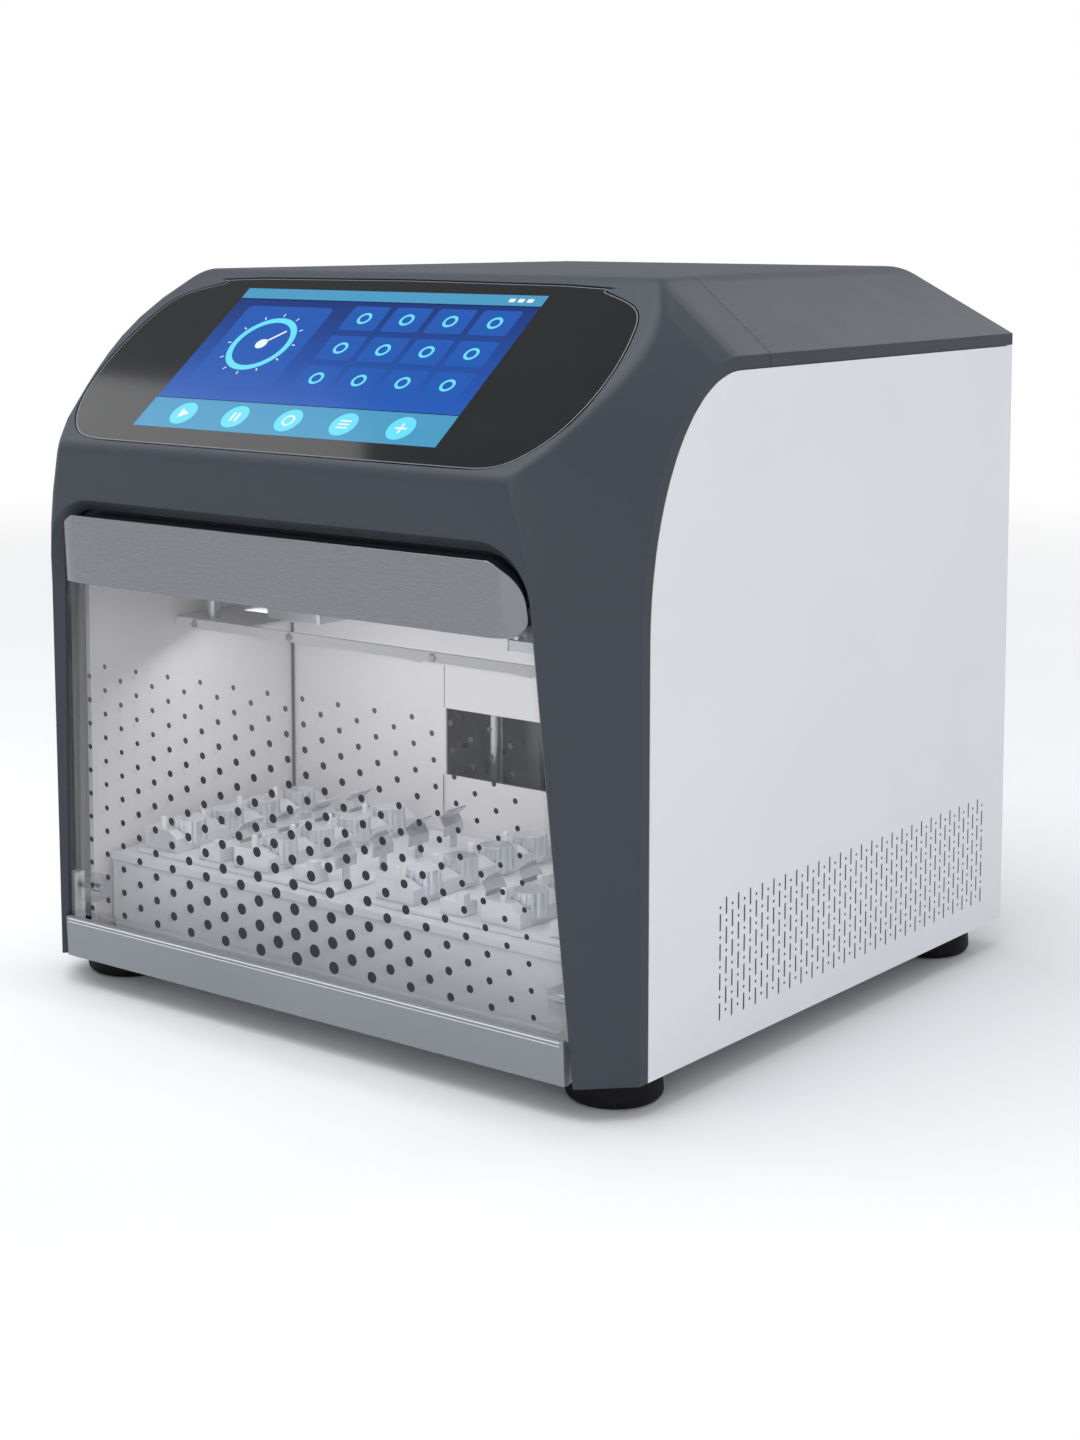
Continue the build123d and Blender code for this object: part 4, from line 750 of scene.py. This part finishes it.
class ExtractorDoor(bpy.types.Operator):
    """Clear door with printed dots, a metal bar and painted shade above the bar"""
    bl_idname = "extractor.door"
    bl_label = "Door"

    def execute(self, context):
        finish = context.scene.extractor_finish
        door = context.scene.extractor_door
        paint("door_panel", clear_glass("Door glass", (0.975, 0.98, 0.985), 0.03))
        ink_tree = Nodes("Door print").set(roughness=0.5, specular=0.2)
        coords = ink_tree.add("ShaderNodeTexCoord")
        split = ink_tree.add("ShaderNodeSeparateXYZ")
        ink_tree.link(coords.outputs["Object"], split.inputs[0])
        fade = ink_tree.spread(split.outputs[2], 0.0, 0.8, 0.150, 0.205)
        ink_tree.link(ink_tree.tint(fade, tuple(door.dot_colour), (0.16, 0.16, 0.17)),
                      ink_tree.shader.inputs["Base Color"])
        print_ink = ink_tree.material
        # Dark bands on the door glass and on the cabinet behind it: painted shade of the gap above
        # the bar
        gap_shade = grained("Door gap shade", (0.012, 0.014, 0.022), 0.5, 900.0, 0.2)
        band = arch(0.1672, 0.2660, 0.1685, 0.2610, 0.026)
        finish_piece(flat_shapes("door_gap_shade", door_matrix(), DOOR_SHADE_LIFT, [band]), "door", gap_shade)
        cabinet_shade_outline = arch(0.1715, 0.2620, 0.1715, 0.2700, 0.028)
        finish_piece(flat_shapes("cabinet_gap_shade", door_matrix(), CABINET_SHADE_LIFT, [cabinet_shade_outline]), "cabinet",
                     gap_shade)
        finish_piece(dot_print(print_ink), "door", print_ink)
        bar = brushed("Brushed bar", tuple(finish.handle), 0.26, (1, 60, 60), 0.2)
        redress("door_handle", "door_bar", bar, bevel=0.0006)
        return {"FINISHED"}


class ExtractorScreen(bpy.types.Operator):
    """Touch glass with its rim and a lit screen"""
    bl_idname = "extractor.screen"
    bl_label = "Screen"

    def execute(self, context):
        screen = context.scene.extractor_screen
        black = Nodes("Black touch glass").set(roughness=0.06, specular=0.34)
        depth = black.tint(black.spread(black.noise(14.0), 0, 1), (0.003, 0.003, 0.004),
                           (0.005, 0.005, 0.006))
        black.link(depth, black.shader.inputs["Base Color"])
        glass = redress("touch_glass", "touch_glass_smooth", black.material, radians(40))
        outline = self.top_loop(glass, screen_matrix().inverted())
        rim = grained("Rim line", (0.16, 0.175, 0.20), 0.3, 900.0, 0.1, 0.6)
        self.strip("glass_rim", outline, ((0.0004, 0.0010),), rim)
        self.picture(screen)
        return {"FINISHED"}

    def top_loop(self, obj, inverse):
        """Outline of the glass face in the screen's plane, in order."""
        bm = bmesh.new()
        bm.from_mesh(obj.data)
        bm.transform(inverse)
        top = max(v.co.z for v in bm.verts)
        faces = {f for f in bm.faces if all(abs(v.co.z - top) < 0.00005 for v in f.verts)}
        edges = [e for e in bm.edges if len([f for f in e.link_faces if f in faces]) == 1]
        ends = {}
        for edge in edges:
            a, b = edge.verts
            ends.setdefault(a, []).append(b)
            ends.setdefault(b, []).append(a)
        start = min(ends, key=lambda v: (v.co.y, v.co.x))
        loop, last, here = [start], None, start
        while True:
            step = next(v for v in ends[here] if v is not last)
            if step is start:
                break
            loop.append(step)
            last, here = here, step
        points = [(v.co.x, v.co.y) for v in loop]
        bm.free()
        area = sum(a[0] * b[1] - b[0] * a[1] for a, b in zip(points, points[1:] + points[:1]))
        return points if area > 0 else points[::-1]

    def strip(self, name, outline, bands, material):
        """Thin lines that run inside an outline."""
        def inset(distance):
            moved_points = []
            for before, point, after in zip(outline[-1:] + outline[:-1], outline,
                                            outline[1:] + outline[:1]):
                dx, dy = after[0] - before[0], after[1] - before[1]
                size = hypot(dx, dy)
                moved_points.append((point[0] - dy / size * distance,
                                     point[1] + dx / size * distance))
            return moved_points

        bm = bmesh.new()
        for near, far in bands:
            outer = [bm.verts.new((x, y, PICTURE_LIFT)) for x, y in inset(near)]
            inner = [bm.verts.new((x, y, PICTURE_LIFT)) for x, y in inset(far)]
            for i in range(len(outer)):
                j = (i + 1) % len(outer)
                bm.faces.new((outer[i], outer[j], inner[j], inner[i]))
        bm.transform(screen_matrix())
        finish_piece(mesh_object(name, bm), "cabinet", material)

    def picture(self, screen):
        """A plain instrument screen: dial, tiles and a band of keys."""
        left = screen.offset - screen.width / 2
        wide, high = screen.width, screen.height

        def at(u, v):
            return left + u * wide, v * high

        def box(u0, v0, u1, v1, radius=0.0):
            (x0, y0), (x1, y1) = at(u0, v0), at(u1, v1)
            middle = ((x0 + x1) / 2, (y0 + y1) / 2)
            if not radius:
                return [(x0, y0), (x1, y0), (x1, y1), (x0, y1)]
            return rounded_box(middle, x1 - x0, y1 - y0, radius)

        glow = screen.glow
        back = Nodes("Screen blue").set(base=(0.0, 0.0, 0.0), roughness=0.12, glow=glow,
                                        specular=0.15)
        foot = screen.foot_y * cos(screen.slope) + screen.foot_z * sin(screen.slope)
        coords = back.add("ShaderNodeTexCoord")
        turn = back.add("ShaderNodeMapping")
        turn.inputs["Rotation"].default_value = (-screen.slope, 0, 0)
        back.link(coords.outputs["Object"], turn.inputs["Vector"])
        split = back.add("ShaderNodeSeparateXYZ")
        back.link(turn.outputs["Vector"], split.inputs[0])
        climb = back.spread(split.outputs[1], 0.0, 1.0, foot, foot + high)
        back.link(back.tint(climb, tuple(screen.bright), tuple(screen.deep)),
                  back.shader.inputs["Emission Color"])
        deep, bright = tuple(screen.deep), tuple(screen.bright)
        pale = tuple(screen.pale)
        layers = (
            ("screen_picture", back.material, [box(0, 0, 1, 1)], []),
            ("screen_band", lit("Screen band", pale, glow * 0.65),
             [box(0, 0, 1, 0.20), box(0, 0.925, 1, 1)], []),
            ("screen_tiles", lit("Screen tiles", shaded(bright, 0.8), glow),
             [box(0.42 + 0.14 * i, 0.30 + 0.21 * j, 0.54 + 0.14 * i, 0.47 + 0.21 * j, 0.002)
              for i in range(4) for j in range(3)]
             + [box(0.055, 0.30, 0.355, 0.87, 0.004)], []),
            ("screen_keys", lit("Screen keys", shaded(pale, 1.5), glow), [],
             [(at(0.14 + 0.18 * i, 0.10), 0.0088, 0.0) for i in range(5)]
             + [(at(0.205, 0.60), 0.0225, 0.0185)]
             + [(at(0.48 + 0.14 * i, 0.385 + 0.21 * j), 0.0048, 0.0030)
                for i in range(4) for j in range(3)]),
            ("screen_marks", lit("Screen marks", (0.85, 0.92, 0.96), glow), self.marks(at),
             [(at(0.205, 0.60), 0.0040, 0.0), (at(0.50, 0.10), 0.0042, 0.0030)]),
            ("screen_hands", lit("Screen hands", shaded(deep, 0.6), glow * 0.7),
             [box(0.0, 0.198, 1.0, 0.203), box(0.0, 0.920, 1.0, 0.925)], []),
        )
        for number, (name, material, shapes, rings) in enumerate(layers):
            flat = flat_shapes(name, screen_matrix(), PICTURE_LIFT + LAYER_STEP * number,
                               shapes, rings)
            finish_piece(flat, "cabinet", material)

    def marks(self, at):
        """White pictograms of the keys, the dial's ticks and hand, and the status marks."""
        shapes = []
        x, y = at(0.14, 0.10)
        shapes.append([(x - 0.0028, y - 0.0038), (x + 0.0040, y), (x - 0.0028, y + 0.0038)])
        x, y = at(0.32, 0.10)
        shapes += [stroke((x + dx, y - 0.0034), (x + dx, y + 0.0034), 0.0018)
                   for dx in (-0.0018, 0.0018)]
        x, y = at(0.68, 0.10)
        shapes += [stroke((x - 0.0040, y + dy), (x + 0.0040, y + dy), 0.0012)
                   for dy in (-0.0026, 0.0, 0.0026)]
        x, y = at(0.86, 0.10)
        shapes += [stroke((x - 0.0038, y), (x + 0.0038, y), 0.0014),
                   stroke((x, y - 0.0038), (x, y + 0.0038), 0.0014)]
        x, y = at(0.205, 0.60)
        for tick in range(12):
            angle = tick * pi / 6
            shapes.append(stroke((x + 0.0238 * cos(angle), y + 0.0238 * sin(angle)),
                                 (x + 0.0262 * cos(angle), y + 0.0262 * sin(angle)), 0.0008))
        shapes.append(stroke((x, y), (x + 0.0115, y + 0.0115), 0.0016))
        for place in range(3):
            x, y = at(0.90 + 0.028 * place, 0.962)
            shapes.append(rounded_box((x, y), 0.0042, 0.0030, 0.0008, 3))
        return shapes


class ExtractorChamber(bpy.types.Operator):
    """Heated lanes, bench and screws of the chamber"""
    bl_idname = "extractor.chamber"
    bl_label = "Chamber"

    def execute(self, context):
        bench = grained("Bench enamel", (0.66, 0.66, 0.68), 0.34, 600.0, 0.15, 0.0, 0.02)
        tray = grained("Satin tray", (0.74, 0.74, 0.77), 0.34, 900.0, 0.25, 0.1, 0.04)
        rail = grained("Anodised rail", (0.72, 0.73, 0.76), 0.30, 800.0, 0.3, 0.45, 0.05,
                       (1, 6, 1))
        seat = grained("Machined seat", (0.70, 0.72, 0.76), 0.24, 500.0, 0.3, 0.6, 0.08,
                       (4, 4, 1))
        peg = grained("White peg", (0.80, 0.80, 0.79), 0.35, 900.0, 0.1)
        clip = grained("Spring steel", (0.66, 0.67, 0.70), 0.26, 400.0, 0.2, 0.7, 0.08,
                       (30, 1, 30))
        for node, name, material, bevel in (
                ("bench_plate", "bench_top", bench, 0.0006),
                ("bench_skirt", "bench_front", bench, 0.0003),
                ("carrier_left", "tray_left", tray, 0.0004),
                ("carrier_right", "tray_right", tray, 0.0004),
                ("heat_rails", "heating_rails", rail, 0.0004),
                ("heat_seats", "tube_seats", seat, 0.0002),
                ("locating_pegs", "white_pegs", peg, 0.0),
                ("lane_stops", "stop_blocks", tray, 0.0005),
                ("spring_clips", "clips", clip, 0.0001)):
            redress(node, name, material, bevel=bevel)
        enamel = grained("Ceiling enamel", (0.72, 0.71, 0.72), 0.4, 500.0, 0.12, 0.0, 0.02)
        plate = redress("chamber_ceiling", "ceiling_plate", enamel)
        for vertex in plate.data.vertices:
            if vertex.co.z < LIP_TOP:
                vertex.co.z = LIP_TOP - (LIP_TOP - vertex.co.z) * LIP_SHARE
        self.plate("wall_header", *WALL_HEADER, enamel)
        # Dark strips in the seams of the chamber walls: painted shadow of the joints
        shadow = grained("Joint shadow", (0.10, 0.10, 0.105), 0.7, 700.0, 0.2)
        for number, (left, right, low, high) in enumerate(WALL_JOINT_SHADOWS):
            self.plate(f"wall_joint_shadow_{number}", (left, JOINT_FRONT, low),
                       (right, JOINT_BACK, high), shadow)
        steel = brushed("Screw steel", (0.45, 0.46, 0.48), 0.3)
        flange = Matrix.Translation((0, LIP_FACE_Y, 0)) @ Matrix.Rotation(pi / 2, 4, "X")
        ceiling = screw_heads("ceiling_screws", [(x, LIP_SCREW_Z) for x in LIP_SCREWS_X],
                               flange, 0.0026, steel)
        finish_piece(ceiling, "cabinet", steel)
        return {"FINISHED"}

    def plate(self, name, low, high, material):
        """A thin sheet with softened edges."""
        bm = bmesh.new()
        bmesh.ops.create_cube(bm, size=1.0)
        middle = [(a + b) / 2 for a, b in zip(low, high)]
        for vertex in bm.verts:
            for axis in range(3):
                vertex.co[axis] = middle[axis] + vertex.co[axis] * (high[axis] - low[axis])
        bmesh.ops.bevel(bm, geom=bm.edges[:], offset=0.00008, segments=1, affect="EDGES")
        finish_piece(mesh_object(name, bm), "cabinet", material)


class ExtractorRear(bpy.types.Operator):
    """Screw heads of the rear panel"""
    bl_idname = "extractor.rear"
    bl_label = "Rear"

    def execute(self, context):
        steel = brushed("Rear screw steel", (0.5, 0.51, 0.53), 0.3)
        back = (Matrix.Translation((0, REAR_FACE_Y, 0)) @ Matrix.Rotation(pi / 2, 4, "X")
                @ Matrix.Rotation(pi, 4, "Y"))
        heads = screw_heads("rear_heads", REAR_SCREWS, back, 0.0032, steel)
        finish_piece(heads, "cabinet", steel)
        return {"FINISHED"}


class ExtractorStage(bpy.types.Operator):
    """Pale floor, soft lights and the camera"""
    bl_idname = "extractor.stage"
    bl_label = "Stage"

    def execute(self, context):
        stage = context.scene.extractor_stage
        scene = context.scene
        scene.view_settings.view_transform = "Standard"
        camera = bpy.data.cameras.new("Camera")
        camera.lens = stage.lens
        camera.shift_x, camera.shift_y = stage.shift_x, stage.shift_y
        holder = bpy.data.objects.new("Camera", camera)
        holder.location = stage.camera_place
        holder.rotation_euler = (pi / 2 - stage.pitch, 0, stage.azimuth)
        scene.collection.objects.link(holder)
        scene.camera = holder
        bm = bmesh.new()
        bmesh.ops.create_grid(bm, x_segments=8, y_segments=8, size=9.0)
        floor = mesh_object("pale_floor", bm)
        ground = Nodes("Pale floor").set(roughness=0.7)
        ground.link(ground.tint(ground.spread(ground.noise(3.0), 0, 1), (0.85, 0.85, 0.86),
                                (0.87, 0.87, 0.88)), ground.shader.inputs["Base Color"])
        far = ground.add("ShaderNodeEmission")
        far.inputs["Color"].default_value = (*BACKDROP, 1)
        coords = ground.add("ShaderNodeTexCoord")
        distance = ground.add("ShaderNodeVectorMath", operation="LENGTH")
        ground.link(coords.outputs["Object"], distance.inputs[0])
        blend = ground.add("ShaderNodeMixShader")
        ground.link(ground.spread(distance.outputs["Value"], 0.0, 1.0, 0.8, 2.6),
                    blend.inputs["Fac"])
        ground.link(ground.shader.outputs["BSDF"], blend.inputs[1])
        ground.link(far.outputs["Emission"], blend.inputs[2])
        ground.link(blend.outputs["Shader"], ground.output.inputs["Surface"])
        floor.data.materials.append(ground.material)
        lights = [self.area("Top light", (-0.3, -0.6, 2.3), (0, 0, 0.2), 2.2, 2.2, 42),
                  self.area("Front light", (1.6, -2.2, 1.1), (0, 0, 0.2), 1.6, 1.6, 17),
                  self.area("Left light", (-2.4, -0.4, 1.5), (0, 0, 0.3), 0.9, 2.4, 11),
                  self.area("Rear light", (0.6, 2.4, 1.6), (0, 0, 0.2), 2.0, 1.2, 14),
                  self.area("Chamber light", (0, -0.090, 0.201), (0, -0.055, 0.09), 0.34, 0.09,
                            0.16)]
        lights[-1].visible_camera = False
        world = bpy.data.worlds.new("Soft room")
        scene.world = world
        world.use_nodes = True
        tree = world.node_tree
        background = tree.nodes["Background"]
        background.inputs["Color"].default_value = (0.80, 0.82, 0.86, 1)
        background.inputs["Strength"].default_value = 0.55
        seen = tree.nodes.new("ShaderNodeBackground")
        seen.inputs["Color"].default_value = (*BACKDROP, 1)
        path = tree.nodes.new("ShaderNodeLightPath")
        mix = tree.nodes.new("ShaderNodeMixShader")
        tree.links.new(path.outputs["Is Camera Ray"], mix.inputs["Fac"])
        tree.links.new(background.outputs[0], mix.inputs[1])
        tree.links.new(seen.outputs[0], mix.inputs[2])
        tree.links.new(mix.outputs[0], tree.nodes["World Output"].inputs["Surface"])
        return {"FINISHED"}

    def area(self, name, place, aim, width, height, power):
        """A soft rectangular lamp that faces a point."""
        data = bpy.data.lights.new(name, "AREA")
        data.shape = "RECTANGLE"
        data.size, data.size_y = width, height
        data.energy = power
        lamp = bpy.data.objects.new(name, data)
        lamp.location = place
        lamp.rotation_euler = (Vector(aim) - Vector(place)).to_track_quat("-Z", "Y").to_euler()
        bpy.context.scene.collection.objects.link(lamp)
        return lamp


OPERATORS = (ExtractorFinishes, ExtractorCasing, ExtractorPanels, ExtractorDoor,
             ExtractorScreen, ExtractorChamber, ExtractorRear, ExtractorStage)


class ExtractorPanel(bpy.types.Panel):
    """Lists the pieces and their settings"""
    bl_idname = "VIEW3D_PT_extractor"
    bl_label = "Bench extractor"
    bl_space_type = "VIEW_3D"
    bl_region_type = "UI"
    bl_category = "Extractor"

    def draw(self, context):
        for operator in OPERATORS:
            self.layout.operator(operator.bl_idname)
        for name, group in SETTINGS:
            box = self.layout.box()
            for prop in group.__annotations__:
                box.prop(getattr(context.scene, name), prop)


def register():
    """Registers the settings, operators and panel."""
    for name, group in SETTINGS:
        bpy.utils.register_class(group)
        setattr(bpy.types.Scene, name, bpy.props.PointerProperty(type=group))
    for cls in (*OPERATORS, ExtractorPanel):
        bpy.utils.register_class(cls)


def unregister():
    """Takes them off again."""
    for cls in (ExtractorPanel, *reversed(OPERATORS)):
        bpy.utils.unregister_class(cls)
    for name, group in reversed(SETTINGS):
        delattr(bpy.types.Scene, name)
        bpy.utils.unregister_class(group)


def main():
    """Dresses the frame."""
    register()
    for operator in OPERATORS:
        group, name = operator.bl_idname.split(".")
        getattr(getattr(bpy.ops, group), name)()


if __name__ == "__main__":
    main()
